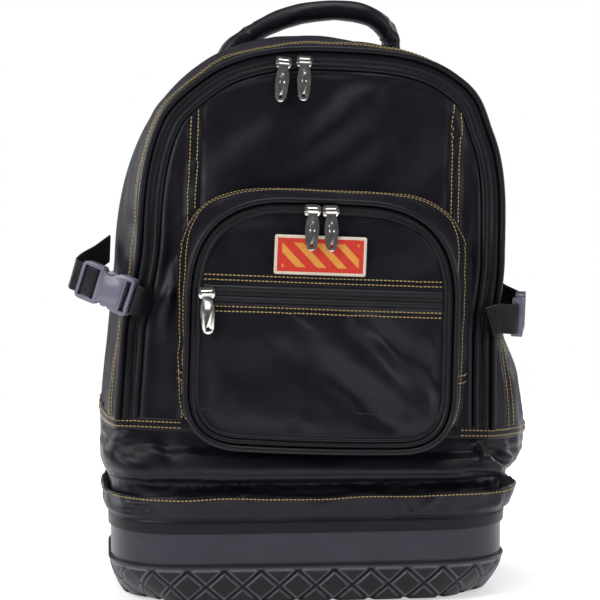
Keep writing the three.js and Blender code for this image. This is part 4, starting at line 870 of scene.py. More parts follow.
def base_tub():
    steps = 12
    count = TREAD_BLOCKS * 2 * steps
    loop = evenly(tub_loop(), count)
    z = tub_levels()
    zz, ss = np.meshgrid(z, np.arange(count + 1) / steps)
    groove = from_groove(zz, ss)
    block = smooth((groove - 0.8) / 1.3)
    inside = smooth((TREAD_TOP + 0.4 - zz) / 1.2)
    crown = 0.5 * np.clip(1 - (groove / 9 - 1) ** 2, 0, 1)
    deep = TREAD_DEPTH * (1 - block) - crown * block
    above = [-TREAD_TOP, 0, 0.9, 1.4, 3.0, 3.6, 4.2, 4.9, 6, TUB_HEIGHT]
    sunk = [0, 0.8, 0.5, -0.8, -0.8, -0.2, LEDGE + 0.9, LEDGE + 0.9, LEDGE, LEDGE]
    rim = np.interp(z - TREAD_TOP, above, sunk)[None, :]
    foot = np.clip(1 - z / TREAD_BOTTOM, 0, 1) ** 1.7 * (TUB_FOOT_INSET - TUB_TAPER)
    notch = smooth((4.0 - zz) / 4.0) * (1 - smooth((groove - 0.8) / 2.0)) * 1.2
    inset = np.where(zz < TREAD_TOP + 1, deep * inside + rim, rim)
    inset = inset + TUB_TAPER * toward_foot(zz) + foot[None, :] + notch
    closed = np.concatenate([loop, loop[:1]])
    step = np.roll(loop, -1, 0) - np.roll(loop, 1, 0)
    out = np.stack([step[:, 1], -step[:, 0]], -1) / np.hypot(step[:, 0], step[:, 1])[:, None]
    out = np.concatenate([out, out[:1]])
    inset = inset + CORNER_TUCK * toward_foot(zz) * np.abs(2 * out[:, :1] * out[:, 1:])
    x = closed[:, None, 0] - out[:, None, 0] * inset
    y = closed[:, None, 1] - out[:, None, 1] * inset
    outer = np.stack([x, y, zz + notch * 0.6], -1)
    # Painted highlights: a lighter colour along the grooves' edges and along the top of the tread.
    lit = hump(groove - 1.9, 0.55) * inside * smooth((zz - 3) / 3)
    lit = np.maximum(lit, hump(zz - TREAD_TOP - 0.2, 0.9) * smooth((groove - 1.5) / 1.5))
    dark = smooth((TREAD_TOP + 0.6 - zz) / 0.8)
    return tub_solid(outer, np.stack([dark * (1 - lit), lit * 0.8], -1))


def tub_solid(outer, marks):
    """The tub's outside with its lip, inside and floor. Marks tell the dark rubber and the painted highlights
    along the edges.
    """
    n, m = outer.shape[:2]
    coarse = outer[:, -1]
    centre = np.array([TUB_X, 0.0])

    def pulled(distance, z):
        away = coarse[:, :2] - centre
        length = np.linalg.norm(away, axis=1, keepdims=True)
        flat = centre + away * (1 - distance / length)
        return np.concatenate([flat, np.full((n, 1), z)], 1)

    inner = np.stack([
        pulled(TUB_WALL * 0.5, TUB_HEIGHT), pulled(TUB_WALL, TUB_HEIGHT - 0.6),
        pulled(TUB_TAPER / 2 + TREAD_DEPTH + TUB_WALL, TREAD_TOP / 2),
        pulled(TUB_FOOT_INSET + TUB_WALL + 8, TUB_WALL), pulled(70, TUB_WALL),
    ], 1)
    sole_edge = outer[:, 0]
    sole_ring = np.concatenate([centre + (sole_edge[:, :2] - centre) * 0.4, np.zeros((n, 1))], 1)
    grid = np.concatenate([sole_ring[:, None], outer, inner], 1)
    rows, columns = grid.shape[:2]
    points = np.concatenate([grid.reshape(-1, 3), [[TUB_X, 0, 0], [TUB_X, 0, TUB_WALL]]])
    faces = grid_faces(rows, columns).tolist()
    sole, floor = len(points) - 2, len(points) - 1
    for i in range(rows - 1):
        faces.append([sole, (i + 1) * columns, i * columns])
        faces.append([floor, i * columns + columns - 1, (i + 1) * columns + columns - 1])
    u = np.concatenate([np.repeat(np.arange(rows) * 0.0015, columns), [0, 0]])
    v = np.concatenate([np.tile(np.arange(columns) * 0.0015, rows), [0, 0]])
    tones = np.zeros((len(points), 2))
    tones[:rows * columns].reshape(rows, columns, 2)[:, 1:1 + m] = marks
    piece = mesh_piece("tub_shell", points, faces, tub_plastic, "base_plastic", uv=np.stack([u, v], -1),
                       sharp=60, lean=False, merge=True, tone=tones)
    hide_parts("base_tub")


base_tub()

# Skirt and lower band


BINDING = 10.8  # height of the skirt's dark binding
# The skirt's lip: how much of the way in to the base, and how far below the top
SKIRT_LIP = ((0.12, 0.1), (0.3, 0.5), (0.55, 1.4), (0.8, 2.6), (1.0, 4.0))


def skirt():
    foot = LEDGE - FIT - CLOTH
    top = foot - SKIRT_FLARE
    rows = [(0.0, foot + 1.2, 0.0), (0.03, foot, 0.0), (0.3, foot - 0.3, 0.1), (0.335, foot + 0.3, 0.12),
            (0.45, foot - SKIRT_FLARE * 0.42, 0.35), (0.75, foot - SKIRT_FLARE * 0.86, 0.6),
            (0.9, top, 0.75), (0.97, top + 0.3, 0.75), (1.0, top + 1.2, 0.75)]
    up = np.concatenate([[0, 0.03], np.linspace(0.06, 0.3, 6)[:-1], [0.3, 0.335, 0.36],
                         np.linspace(0.39, 1, 20)])
    inset = np.interp(up, [r[0] for r in rows], [r[1] for r in rows])
    share = np.interp(up, [r[0] for r in rows], [r[2] for r in rows])
    height = lerp(SKIRT_FOOT, SKIRT_TOP, up)
    for turn, drop in SKIRT_LIP:
        inset = np.append(inset, lerp(top + 1.2, LEDGE - 0.9, turn))
        share = np.append(share, 0.75 * (1 - turn))
        height = np.append(height, SKIRT_TOP - drop)
    loop = evenly(tub_loop(), 560)
    grid = []
    for z, back, ahead in zip(height, inset, share):
        here = offset(loop, -back) - [TUB_X * ahead, 0]
        grid.append(np.concatenate([here, np.full((len(here), 1), z)], 1))
    outer = joined(np.stack(grid, 1))
    out = normals(outer, True)
    x, y, z = outer[..., 0], outer[..., 1], outer[..., 2]
    wavy = smooth((z - SKIRT_FOOT - 10) / 8)
    front = smooth((-y - 40) / 40)
    push = folds(SKIRT_FOLDS, x, z) * front * wavy * 1.3
    gather = noise(outer * [1, 1, 0.3], (9, 9, 22), 11) * 1.3 * smooth((z - 74) / 10)
    creases = np.abs(noise(outer * [1, 1, 0.8], (26, 26, 15), 13)) ** 0.7 * 1.9 - 0.8
    push = push + (gather + creases) * wavy + rumple(outer, (34, 34, 16), 5) * 1.5 * wavy
    push = push * (np.arange(len(height)) < len(up) + 1)
    outer = outer + out * push[..., None] * facing(outer, out)
    outer[..., 2] += noise(outer, (38, 38, 38), 15) * 1.6 * smooth((z - 82) / 10)
    dark = smooth((SKIRT_FOOT + BINDING - outer[..., 2]) / 0.7)
    # A painted highlight: a thin lighter line along the binding's top edge.
    worn = hump(outer[..., 2] - SKIRT_FOOT - BINDING - 0.1, 0.5)
    marks = np.stack([dark.ravel(), worn.ravel()], -1)
    piece = cloth_piece("skirt_cloth_band", outer, CLOTH * 0.8, skirt_cloth, "cloth", closed=True,
                        flip=facing(outer, out) < 0, tone=np.concatenate([marks, marks]))
    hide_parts("skirt")
    pieces["skirt"] = piece
    return outer[:, :len(up)]


def facing(grid, out):
    """1 where a loop's directions point away from the middle of the pack, and -1 where they point in."""
    middle = grid.reshape(-1, 3).mean(0)
    return 1.0 if ((grid - middle) * out)[..., :2].sum() > 0 else -1.0


skirt_grid = skirt()


def band_levels(rises, edge=70, corner=26):
    inset = LEDGE + FIT
    foot = ring(-TUB_HALF_DEPTH + inset, BACK_Y, TUB_HALF_WIDTH - inset, TUB_HALF_WIDTH - inset,
                TUB_CORNER, TUB_CORNER, TUB_BOW, 0, edge, corner) + [TUB_X, 0]
    low, high = FRONT_FOOT_Y, BACK_Y
    seam = ring(low, high, FRONT_HALF_WIDTH + FRONT_SPREAD, BACK_HALF_WIDTH + BACK_SPREAD, 10, 10, CROWN, 0,
                edge, corner)
    back = np.clip((seam[:, 1] - low) / (high - low), 0, 1)
    swell = side_swell(back, 0, seam[:, 0])
    seam[:, 0] += np.sign(seam[:, 0]) * swell - FRONT_SHIFT * (1 - back)
    levels = []
    for rise in rises:
        plain = lerp(foot, seam, smooth(rise))
        far = offset(plain, BAND_ROLL * table(BAND_OUT, rise))
        back = np.clip((plain[:, 1] - low) / (high - low), 0, 1)
        along = lerp(np.abs(plain[:, 0]) / (2 * FRONT_HALF_WIDTH), 1.1, back)
        share = table(ROLL_SHARE, 0.5 + np.sign(plain[:, 0]) * along)[:, None]
        loop = lerp(plain, far, share)
        levels.append(np.concatenate([loop, np.full((len(loop), 1), TUB_HEIGHT + BAND_HEIGHT * rise)], 1))
    return np.stack(levels, 1)


BAND_RECESS = 99.0
BAND_CREST = 119.5
BAND_TUCK = 131.0


def lower_band():
    rises = np.concatenate([[0.006, 0.1, 0.18], np.linspace(0.22, 0.995, 52)])
    outer = joined(band_levels(rises, 84, 30))
    out = normals(outer, True)
    sign = facing(outer, out)
    x, y, z = outer[..., 0], outer[..., 1], outer[..., 2]
    front = smooth((-y - 50) / 30)
    wander = noise(outer * [1, 1, 0], (46, 46, 46), 43) * 2.2
    push = folds(BAND_FOLDS, x, z) * front
    recess = hump(z - BAND_RECESS - wander * 0.6, 6.0)
    push = push + (np.abs(noise(outer * [1, 1, 0.4], (7, 7, 9), 21)) * 3.2 - 2.2) * recess
    push = push + rumple(outer * [1, 1, 1.6], (60, 60, 26), 31) * 0.9 * smooth((139 - z) / 12)
    crest = hump(z - BAND_CREST - wander, 6.5)
    push = push + crest * (2.6 + 0.9 * noise(outer, (70, 70, 70), 41)) * front
    push = push - 1.6 * hump(z - BAND_TUCK - wander, 5) * front
    outer = outer + out * sign * push[..., None]
    piece = cloth_piece("lower_band_cloth", outer, CLOTH * 0.8, nylon, "cloth", closed=True, flip=sign < 0)
    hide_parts("lower_band")


lower_band()

# Side and top wall


LAP = (0.075, 0.128)  # where the front lap of the side wall starts and ends, as shares of its depth


def side_wall():
    t = np.linspace(0, 1, 380)[:, None]
    s = np.concatenate([np.linspace(0, 0.2, 16)[:-1], np.linspace(0.2, 1, 42)])[None, :]
    outer = gusset(t, s)
    out = normals(outer)
    sign = facing(outer, out)
    edge = smooth(s * 14) * smooth((1 - s) * 14)
    low = smooth((outer[..., 2] - SEAM) / 14)
    push = rumple(outer, (44, 44, 60), 51) * 2.2 + noise(outer, (16, 20, 26), 53) * 0.8
    lap = 0.9 * (smooth((s - LAP[0]) * 60) - smooth((s - LAP[1]) * 60))
    across = noise(outer * [0.2, 1, 1], (30, 60, 14), 57) * 1.2 * hump(s - 0.2, 0.16)
    outer = outer + out * sign * ((push + across) * edge * low + lap)[..., None]
    outer[..., 2] = np.maximum(outer[..., 2], SEAM)
    piece = cloth_piece("gusset_cloth", outer, CLOTH * 0.8, nylon, "cloth", flip=sign < 0)
    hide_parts("side_wall")
    pieces["gusset"] = piece


side_wall()

# Front: piping, zip and panel

BAND_START = CLOTH + FIT
COIL_SHARE = 0.575  # where a zip's coil runs between its band's outer and inner edge
TOOTH_PITCH = 1.5
ZIP_START = 0.009  # share of the arch that the strip over the seam covers at each foot


def arch_points(count, inset, lift, start=ZIP_START):
    t = np.linspace(start, 1 - start, count + 1)
    x, z = front_arch(t, inset)
    return on_front(x, z, lift)


def front_edge():
    path = arch_points(380, 0.0, PIPING + FIT)
    section = round_section(PIPING, 12)
    piece = swept("front_piping_cord", path, section, (0, -1, 0), tape, "trim")
    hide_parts("front_piping")


def zip_lift(share):
    """How far the zip's two welts and its channel stand out, from its outer to its inner edge."""
    outer_welt = np.clip(1 - ((share - 0.27) / 0.27) ** 2, 0, 1) ** 0.5
    inner_welt = np.clip(1 - ((share - 0.82) / 0.2) ** 2, 0, 1) ** 0.5
    return 0.2 + 2.4 * outer_welt + 1.9 * inner_welt


def main_zip():
    t = np.linspace(ZIP_START, 1 - ZIP_START, 380)[:, None]
    share = np.linspace(0, 1, 22)[None, :]
    x, z = front_arch(t, lerp(BAND_START, ZIP_BAND, share))
    uneven = noise(np.stack([x, z, z * 0], -1), (22, 22, 22), 61) * 0.35 * np.sin(np.pi * share)
    outer = on_front(x, z, zip_lift(share) + uneven)
    piece = cloth_piece("main_zip_welts", outer, 1.4, tape, "trim", flip=faces_back(outer))
    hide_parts("main_zip")
    teeth("main_zip_coil", arch_points(700, lerp(BAND_START, ZIP_BAND, COIL_SHARE), 0.9), TOOTH_PITCH, 1.5)


def teeth(name, path, pitch, width):
    """A zip's coil: small teeth across its line."""
    length = np.linalg.norm(np.diff(path, axis=0), axis=1).sum()
    centres = resample(path, int(length / pitch))
    _, side, out = frames(centres, (0, -1, 0))
    many(name, centres, side, out, (width, 0.5, 0.6), coil, "trim")


front_edge()
main_zip()

PULL_PLACES = [(-26, 435, 26, 30), (-8, 436, 26, 30), (0, 312, 26, 30), (-93, 246, 14, 26)]
SEAM_X = 110.0
FRONT_FOLD_GAIN = 1.5
POCKET_FOLD_GAIN = 1.45


def calm(x, z):
    """Lays the folds down where a zip pull hangs."""
    total = np.ones_like(x)
    for px, pz, wide, tall in PULL_PLACES:
        total = total * (1 - np.exp(-(((x - px) / wide) ** 2) - ((z - pz) / tall) ** 2))
    return total


def front_relief(x, z, room):
    place = np.stack([x, z, np.zeros_like(x)], -1)
    push = folds(FRONT_FOLDS, x, z) * calm(x, z) * FRONT_FOLD_GAIN
    push = push + rumple(place, (48, 60, 48), 71) * 1.5 + noise(place, (17, 22, 17), 73) * 0.5
    lap = 0.9 * (smooth((np.abs(x) - SEAM_X + 5) / 1.4) - smooth((np.abs(x) - SEAM_X - 5) / 1.4))
    pinch = -0.7 * hump(np.abs(x) - SEAM_X + 6.5, 2.2)
    tucks = noise(place, (9, 7, 9), 75) * 0.5 * hump(np.abs(x) - SEAM_X, 14)
    return push * room + (lap + pinch + tucks) * smooth(room * 3)


def front_panel():
    nu, nv = 130, 128
    grid = arch_patch(front_arch, ZIP_BAND + FIT, nu, nv)
    x, z = grid[..., 0], grid[..., 1]
    u = np.linspace(0, 1, nu + 1)[:, None]
    v = np.linspace(0, 1, nv + 1)[None, :]
    room = smooth(np.minimum(u, 1 - u) * 14) * smooth((1 - v) * 12) * smooth(v * 16)
    push = front_relief(x, z, room)
    edge = np.minimum(np.minimum(u, 1 - u) * 2 * FRONT_HALF_WIDTH, (1 - v) * 300)
    push = push + 1.1 * hump(edge - 5, 3.5) - 0.8 * hump(edge, 2.0)
    outer = np.stack([x, front_y(x, z) - push, z], -1)
    piece = cloth_piece("front_cloth", outer, CLOTH * 0.8, nylon, "cloth", flip=faces_back(outer))
    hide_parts("front_panel")
    pieces["front"] = piece


front_panel()

# Front pocket


def pocket_base(edge=60, corner=30):
    return ring(POCKET_FOOT, POCKET_TOP, POCKET_FOOT_HALF_WIDTH, POCKET_HALF_WIDTH, POCKET_FOOT_ROUND,
                POCKET_TOP_ROUND, 0, 1, edge, corner)


def pocket_rim(edge=60, corner=30):
    return ring(FACE_FOOT, FACE_TOP, FACE_HALF, FACE_HALF, POCKET_FOOT_ROUND * 1.5, POCKET_TOP_ROUND,
                POCKET_SAG / 3, 0.6, edge, corner)


def rim_points(inset, lift):
    loop = offset(pocket_rim(), -inset)
    return on_face(loop[:, 0] + FACE_X, loop[:, 1], lift)


def pocket_side():
    base = pocket_base()
    rim = pocket_rim()
    start = on_front(base[:, 0] + POCKET_X, base[:, 1], -0.4)
    end = on_face(rim[:, 0] + FACE_X, rim[:, 1])
    s = np.linspace(0, 1, 20)[None, :, None]
    outer = joined(lerp(start[:, None], end[:, None], s))
    out = normals(outer, True)
    middle = outer.reshape(-1, 3).mean(0)
    sign = 1.0 if ((outer - middle) * out)[..., [0, 2]].sum() > 0 else -1.0
    room = np.sin(np.pi * np.clip(s[..., 0], 0, 1)) ** 0.7
    sides = smooth((np.abs(outer[..., 0] - POCKET_X) - 80) / 30)
    push = rumple(outer, (26, 18, 30), 81) * 1.6 + noise(outer, (10, 10, 12), 83) * 0.5
    bellows = 1.6 * np.sin(s[..., 0] * np.pi * 2) * sides
    rib = 0.9 * hump(s[..., 0] - 0.3, 0.05)
    outer = outer + out * sign * ((push + bellows) * room + rib)[..., None]
    piece = cloth_piece("pocket_gusset", outer, CLOTH * 0.8, nylon, "cloth", closed=True, flip=sign < 0)
    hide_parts("pocket_side")
    pieces["pocket"] = piece


def pocket_edge():
    path = rim_points(0.0, PIPING + FIT)
    section = round_section(PIPING, 12)
    piece = swept("pocket_piping_cord", path, section, (0, -1, 0), tape, "trim", closed=True)
    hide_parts("pocket_piping")


def pocket_zip():
    start = CLOTH + FIT + 0.5
    share = np.linspace(0, 1, 16)
    grid = np.stack([rim_points(lerp(start, POCKET_BAND, s), zip_lift(s) * 0.8) for s in share], 1)
    outer = joined(grid)
    flip = faces_back(outer, True)
    piece = cloth_piece("pocket_zip_welts", outer, 1.3, tape, "trim", closed=True, flip=flip)
    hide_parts("pocket_zip")
    path = rim_points(lerp(start, POCKET_BAND, COIL_SHARE), 0.8)
    low = path[:, 2] < FACE_FOOT + 30
    first = int(np.argmin(low)) if low[0] else 0
    path = np.roll(path, -first, 0)
    teeth("pocket_zip_coil", path[path[:, 2] > FACE_FOOT + 28], TOOTH_PITCH, 1.1)


def face_relief(x, z):
    place = np.stack([x, z, np.zeros_like(x)], -1)
    across = np.abs(x - FACE_X) / (FACE_HALF - POCKET_BAND)
    high = (z - FACE_FOOT - POCKET_BAND) / (FACE_TOP - FACE_FOOT - 2 * POCKET_BAND)
    room = smooth((1 - across) * 9) * smooth(high * 14) * smooth((1 - high) * 12)
    zip_strip = smooth((np.abs(z - FACE_ZIP_Z) - 7) / 9)
    push = folds(POCKET_FOLDS, x, z) * calm(x, z) * zip_strip * POCKET_FOLD_GAIN
    push = push + rumple(place, (40, 46, 40), 91) * zip_strip + noise(place, (15, 15, 15), 93) * 0.35
    off_zip = np.abs(z - FACE_ZIP_Z)
    lips = 1.3 * (smooth((9.5 - off_zip) / 1.6) - smooth((6.2 - off_zip) / 1.6))
    return push * room + lips * smooth(room * 4)


def pocket_face():
    edge, corner = 60, 30
    loop = offset(pocket_rim(edge, corner), -(POCKET_BAND + FIT)) + [FACE_X, 0]
    side = edge + corner
    first = corner // 2
    sides = [loop[(first + k * side + np.arange(side + 1)) % len(loop)] for k in range(4)]
    steps = np.linspace(0, 1, side + 1)
    low, high = sides[0][:, None], sides[2][::-1][:, None]
    left, right = sides[3][::-1][None, :], sides[1][None, :]
    grid = coons(low, high, left, right, steps[:, None, None], steps[None, :, None])
    x, z = grid[..., 0], grid[..., 1]
    outer = np.stack([x, face_y(x, z) - face_relief(x, z), z], -1)
    piece = cloth_piece("pocket_cloth", outer, CLOTH * 0.8, nylon, "cloth", flip=faces_back(outer))
    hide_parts("pocket_face")
    pieces["face"] = piece


def face_zip():
    half = FACE_HALF - POCKET_BAND - 1.5
    x = np.linspace(FACE_X - half, FACE_X + half, 150)[:, None]
    across = np.linspace(-6.4, 6.4, 17)[None, :]
    z = FACE_ZIP_Z + across + x * 0
    lift = 0.9 + 1.5 * hump(np.abs(across) - 4.4, 1.5) + x * 0
    outer = np.stack([x + across * 0, face_y(x + across * 0, z) - lift, z], -1)
    piece = cloth_piece("face_zip_tape", outer, 1.2, tape, "trim", flip=faces_back(outer))
    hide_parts("face_zip")
    line = np.linspace(FACE_X - half + 2, FACE_X + half - 2, 200)
    teeth("face_zip_coil", on_face(line, np.full_like(line, FACE_ZIP_Z), 1.5), TOOTH_PITCH, 1.5)


pocket_side()
pocket_edge()
pocket_zip()
pocket_face()
face_zip()

# Strip over the seam at the foot of the front and of the sides

SEAM_STRIP = 10.0
ARCH_REACH = 1040.0


def seam_strip():
    rows = []
    for h, lift in zip(np.linspace(-0.6, SEAM_STRIP, 9), (0.2, 1.2, 1.5, 1.5, 1.5, 1.5, 1.5, 1.2, 0.2)):
        t = max(h, 0.0) / ARCH_REACH
        s = np.linspace(1, 0, 60)
        left = gusset(t, s, lift)
        right = gusset(1 - t, s[::-1], lift)
        left[:, 2] = right[:, 2] = SEAM + h
        x = np.linspace(left[-1, 0], right[0, 0], 150)[1:-1]
        front = on_front(x, np.full_like(x, SEAM + h), lift + 0.6)
        rows.append(np.concatenate([left, front, right]))
    outer = np.stack(rows, 1)
    count = len(outer)
    outer[2:-2, :, :2] = sum(outer[k:count - 4 + k, :, :2] for k in range(5)) / 5
    out = normals(outer)
    sign = facing(outer, out)
    outer = outer + out * sign * (noise(outer, (24, 24, 24), 101) * 0.5)[..., None]
    return cloth_piece("seam_strip", outer, 1.0, nylon, "cloth", flip=sign < 0)


# Stitches

STRIP_ROWS = (2.8, 7.2)  # heights of the two rows on the strip over the seam
GUSSET_ROWS = (0.087, 0.115)  # shares of the side wall's depth
FACE_ROWS = (-14.6, -10.6, 10.6, 14.6)  # above the zip of the pocket's face
TAB_ROWS = ((-1, (184, 190)), (1, (188, 194)))  # the side, and heights of the rows across the pocket's side


def surface_of(piece):
    points, faces = outsides[piece.name]
    return BVHTree.FromPolygons(points.tolist(), faces.tolist())


def stitch_runs(name, piece, runs, pitch=3.3, size=(1.36, 0.55, 0.5), material=None, slot="trim"):
    """Thread along runs of points near a piece: each stitch lies on the piece's surface."""
    tree = surface_of(piece)
    centres, along, out = [], [], []
    for run in runs:
        run = np.asarray(run, float)
        length = np.linalg.norm(np.diff(run, axis=0), axis=1).sum()
        line = leaned(resample(run, max(2, int(length / pitch))))
        found = [tree.find_nearest(Vector(p)) for p in line]
        place = np.array([f[0] for f in found]) * 1000
        out.append(np.array([f[1] for f in found]))
        step = np.gradient(place, axis=0)
        step -= out[-1] * (step * out[-1]).sum(1, keepdims=True)
        along.append(step / np.linalg.norm(step, axis=1, keepdims=True))
        centres.append(place + out[-1] * 0.12)
    return many(name, np.concatenate(centres), np.concatenate(along), np.concatenate(out), size,
                material or thread, slot, lean=False, sharp=80)


def up_line(x, low, high):
    return [(x, front_y(np.float64(x), np.float64(z)), z) for z in np.linspace(low, high, 60)]


def arch_height(x, inset):
    """Height of the front arch, a distance inside it, at x."""
    t = np.linspace(0, 1, 2000)
    ax, az = front_arch(t, inset)
    side = np.argmin(np.abs(ax - x) + (az < SEAM + FRONT_STRAIGHT) * 1000)
    return az[side]


def front_stitches():
    rows = []
    for sign in (-1, 1):
        for x in (SEAM_X - 3.0, SEAM_X + 3.0):
            rows.append(up_line(sign * x, SEAM + 12, arch_height(sign * x, ZIP_BAND) - 4))
    stitch_runs("front_seam_stitches", pieces["front"], rows)


def gusset_stitches():
    t = np.linspace(0.012, 0.988, 300)
    rows = [gusset(t, np.full_like(t, s), 1.0) for s in GUSSET_ROWS]
    stitch_runs("gusset_stitches", pieces["gusset"], rows)


def seam_stitches():
    rows = []
    for h in STRIP_ROWS:
        t = h / ARCH_REACH
        s = np.linspace(1, 0, 60)
        left, right = gusset(t, s, 1.2), gusset(1 - t, s[::-1], 1.2)
        left[:, 2] = right[:, 2] = SEAM + h
        x = np.linspace(left[-1, 0], right[0, 0], 80)
        front = on_front(x, np.full_like(x, SEAM + h), 1.5)
        rows += [np.concatenate([left, front[x < POCKET_X - POCKET_FOOT_HALF_WIDTH]]),
                 np.concatenate([front[x > POCKET_X + POCKET_FOOT_HALF_WIDTH], right])]
    stitch_runs("seam_stitches", pieces["seam"], rows)


def skirt_stitches():
    row = skirt_grid[:, np.argmin(np.abs(skirt_grid[0, :, 2] - (SKIRT_TOP - 2.8)))]
    stitch_runs("skirt_stitches", pieces["skirt"], [row])


def pocket_lines(top, left, right):
    base, rim = pocket_base(), pocket_rim()
    side = smooth((np.abs(base[:, :1]) - 84) / 34) * smooth((POCKET_TOP - 8 - base[:, 1:]) / 60)
    s = lerp(top, np.where(base[:, :1] < 0, left, right), side)
    start = on_front(base[:, 0] + POCKET_X, base[:, 1], -0.4)
    end = on_face(rim[:, 0] + FACE_X, rim[:, 1])
    line = lerp(start, end, s)
    low = line[:, 2] < POCKET_FOOT + 8
    first = int(np.argmax(~low & np.roll(low, 1)))
    line = np.roll(line, -first, 0)
    return line[line[:, 2] > POCKET_FOOT + 8]


def pocket_stitches():
    rows = [pocket_lines(0.12, 0.38, 0.5), pocket_lines(0.26, 0.6, 0.78)]
    for sign, heights in TAB_ROWS:
        for z in heights:
            s = np.linspace(0.06, 0.9, 12)
            x = sign * lerp(POCKET_FOOT_HALF_WIDTH + 6, FACE_HALF, s) + lerp(POCKET_X, FACE_X, s)
            y = lerp(front_y(x, z + 0 * x), face_y(x * 0.98, z + 0 * x), s)
            rows.append(np.stack([x, y, z + 0 * x], -1))
    stitch_runs("pocket_stitches", pieces["pocket"], rows)


def face_stitches():
    half = FACE_HALF - POCKET_BAND - 3
    x = np.linspace(FACE_X - half, FACE_X + half, 120)
    rows = [on_face(x, np.full_like(x, FACE_ZIP_Z + d)) for d in FACE_ROWS]
    stitch_runs("face_stitches", pieces["face"], rows)


pieces["seam"] = seam_strip()
front_stitches()
gusset_stitches()
seam_stitches()
skirt_stitches()
pocket_stitches()
face_stitches()

# Hard pieces: prisms joined and cut, with rounded edges


def prism(outline, low, high, axis=1):
    """A solid over an outline of pairs, between two places along an axis."""
    n = len(outline)
    flat = np.asarray(outline, float)
    points = np.zeros((2 * n, 3))
    others = [k for k in range(3) if k != axis]
    for k, place in enumerate((low, high)):
        points[k * n:(k + 1) * n, others] = flat
        points[k * n:(k + 1) * n, axis] = place
    faces = [list(range(n)), list(range(2 * n - 1, n - 1, -1))]
    faces += [[k, n + k, n + (k + 1) % n, (k + 1) % n] for k in range(n)]
    return points, faces


def block(x0, x1, y0, y1, z0, z1):
    return prism([(x0, z0), (x1, z0), (x1, z1), (x0, z1)], y0, y1)


def disc(x, z, radius, low, high, sides=24, axis=1):
    a = 2 * np.pi * np.arange(sides) / sides
    return prism(np.stack([x + radius * np.cos(a), z + radius * np.sin(a)], -1), low, high, axis)


def ball(centre, radii):
    edit = bmesh.new()
    bmesh.ops.create_icosphere(edit, subdivisions=3, radius=1)
    points = np.array([v.co for v in edit.verts]) * radii + centre
    faces = [[v.index for v in f.verts] for f in edit.faces]
    edit.free()
    return points, faces


def loose(shape):
    mesh = bpy.data.meshes.new("loose")
    points, faces = shape
    mesh.from_pydata((np.asarray(points) / 1000).tolist(), [], faces)
    edit = bmesh.new()
    edit.from_mesh(mesh)
    if edit.calc_volume(signed=True) < 0:
        bmesh.ops.reverse_faces(edit, faces=edit.faces)
    edit.to_mesh(mesh)
    edit.free()
    made = bpy.data.objects.new("loose", mesh)
    scene.collection.objects.link(made)
    return made


def carved(first, adds=(), cuts=(), round_=0.5, steps=2):
    """One solid in local millimetres from a first one, with others joined to it and cut out of it."""
    body = loose(first)
    tools = []
    for shape, way in [(s, "UNION") for s in adds] + [(s, "DIFFERENCE") for s in cuts]:
        tool = loose(shape)
        tools.append(tool)
        step = body.modifiers.new("join", "BOOLEAN")
        step.object = tool
        step.operation = way
        step.solver = "EXACT"
    edge = body.modifiers.new("round", "BEVEL")
    edge.width = round_ / 1000
    edge.segments = steps
    edge.limit_method = "ANGLE"
    edge.angle_limit = math.radians(38)
    bpy.context.view_layer.update()
    done = bpy.data.meshes.new_from_object(body.evaluated_get(bpy.context.evaluated_depsgraph_get()))
    points = np.array([v.co for v in done.vertices]) * 1000
    faces = [list(p.vertices) for p in done.polygons]
    for used in [body] + tools:
        bpy.data.objects.remove(used)
    return points, faces


def placed(shape, origin, axes):
    """Local millimetres to the pack: axes are the places of local x, y and z."""
    points, faces = shape
    return np.asarray(origin, float) + points @ np.asarray(axes, float), faces


def hard(name, shape, material, slot, body="pack", lean=True, sharp=45):
    points, faces = shape
    return mesh_piece(name, points, faces, material, slot, body=body, sharp=sharp, lean=lean)


def unit(v):
    v = np.asarray(v, float)
    return v / np.linalg.norm(v)


# Zip sliders and pulls, in place of the CAD model's

BAR_LIFT = 5.6  # the bar's middle above the slider's seat
PULL_LENGTH = 33.0
PULL_WIDTH = 11.5


def pull_shape():
    """Hangs along -z from its eye at the origin; its front is at -y."""
    w, end = PULL_WIDTH / 2, -PULL_LENGTH
    side = [(3.7, -1.2), (3.9, -4.5), (5.1, -9.0), (w, -14.5), (5.55, -19), (4.9, -26), (4.3, -29.4)]
    turns = np.linspace(-0.1, -math.pi / 2, 7)
    tip = [(4.15 * math.cos(a), end + 4.2 + 4.15 * math.sin(a)) for a in turns]
    right = side + tip
    outline = right + [(-x, z) for x, z in right[::-1][1:]]
    plate = prism(outline, -1.7, 0.0)
    eye = disc(0, 0, 2.95, -4.15, 4.15, 28, axis=0)
    neck = block(-3.7, 3.7, -1.7, 0.6, -3.4, -1.0)
    hole = disc(0, 0, 1.72, -6, 6, 28, axis=0)
    foot_hole = disc(0, end + 4.4, 1.45, -3, 3, 20)
    dish = ball((0, -4.75, -14.2), (3.9, 3.75, 9.4))
    return carved(plate, adds=[neck, eye], cuts=[hole, foot_hole, dish], round_=0.38)


def slider_shape():
    """Lies on its seat at the origin with its front at -y; its bar runs along x."""
    outline = [(-6.5, -2.6), (-5.2, -4.5), (5.2, -4.5), (6.5, -2.6),
               (6.5, 2.6), (5.0, 4.5), (-5.0, 4.5), (-6.5, 2.6)]
    base = prism(outline, -1.9, 0.0)
    adds = [
        block(-6.4, -4.5, -BAR_LIFT - 0.9, -1.0, -1.5, 1.5),
        block(4.5, 6.4, -BAR_LIFT - 0.9, -1.0, -1.5, 1.5),
        block(-6.0, 6.0, -BAR_LIFT - 0.9, -BAR_LIFT + 0.9, -0.9, 0.9),
    ]
    return carved(base, adds=adds, round_=0.42)


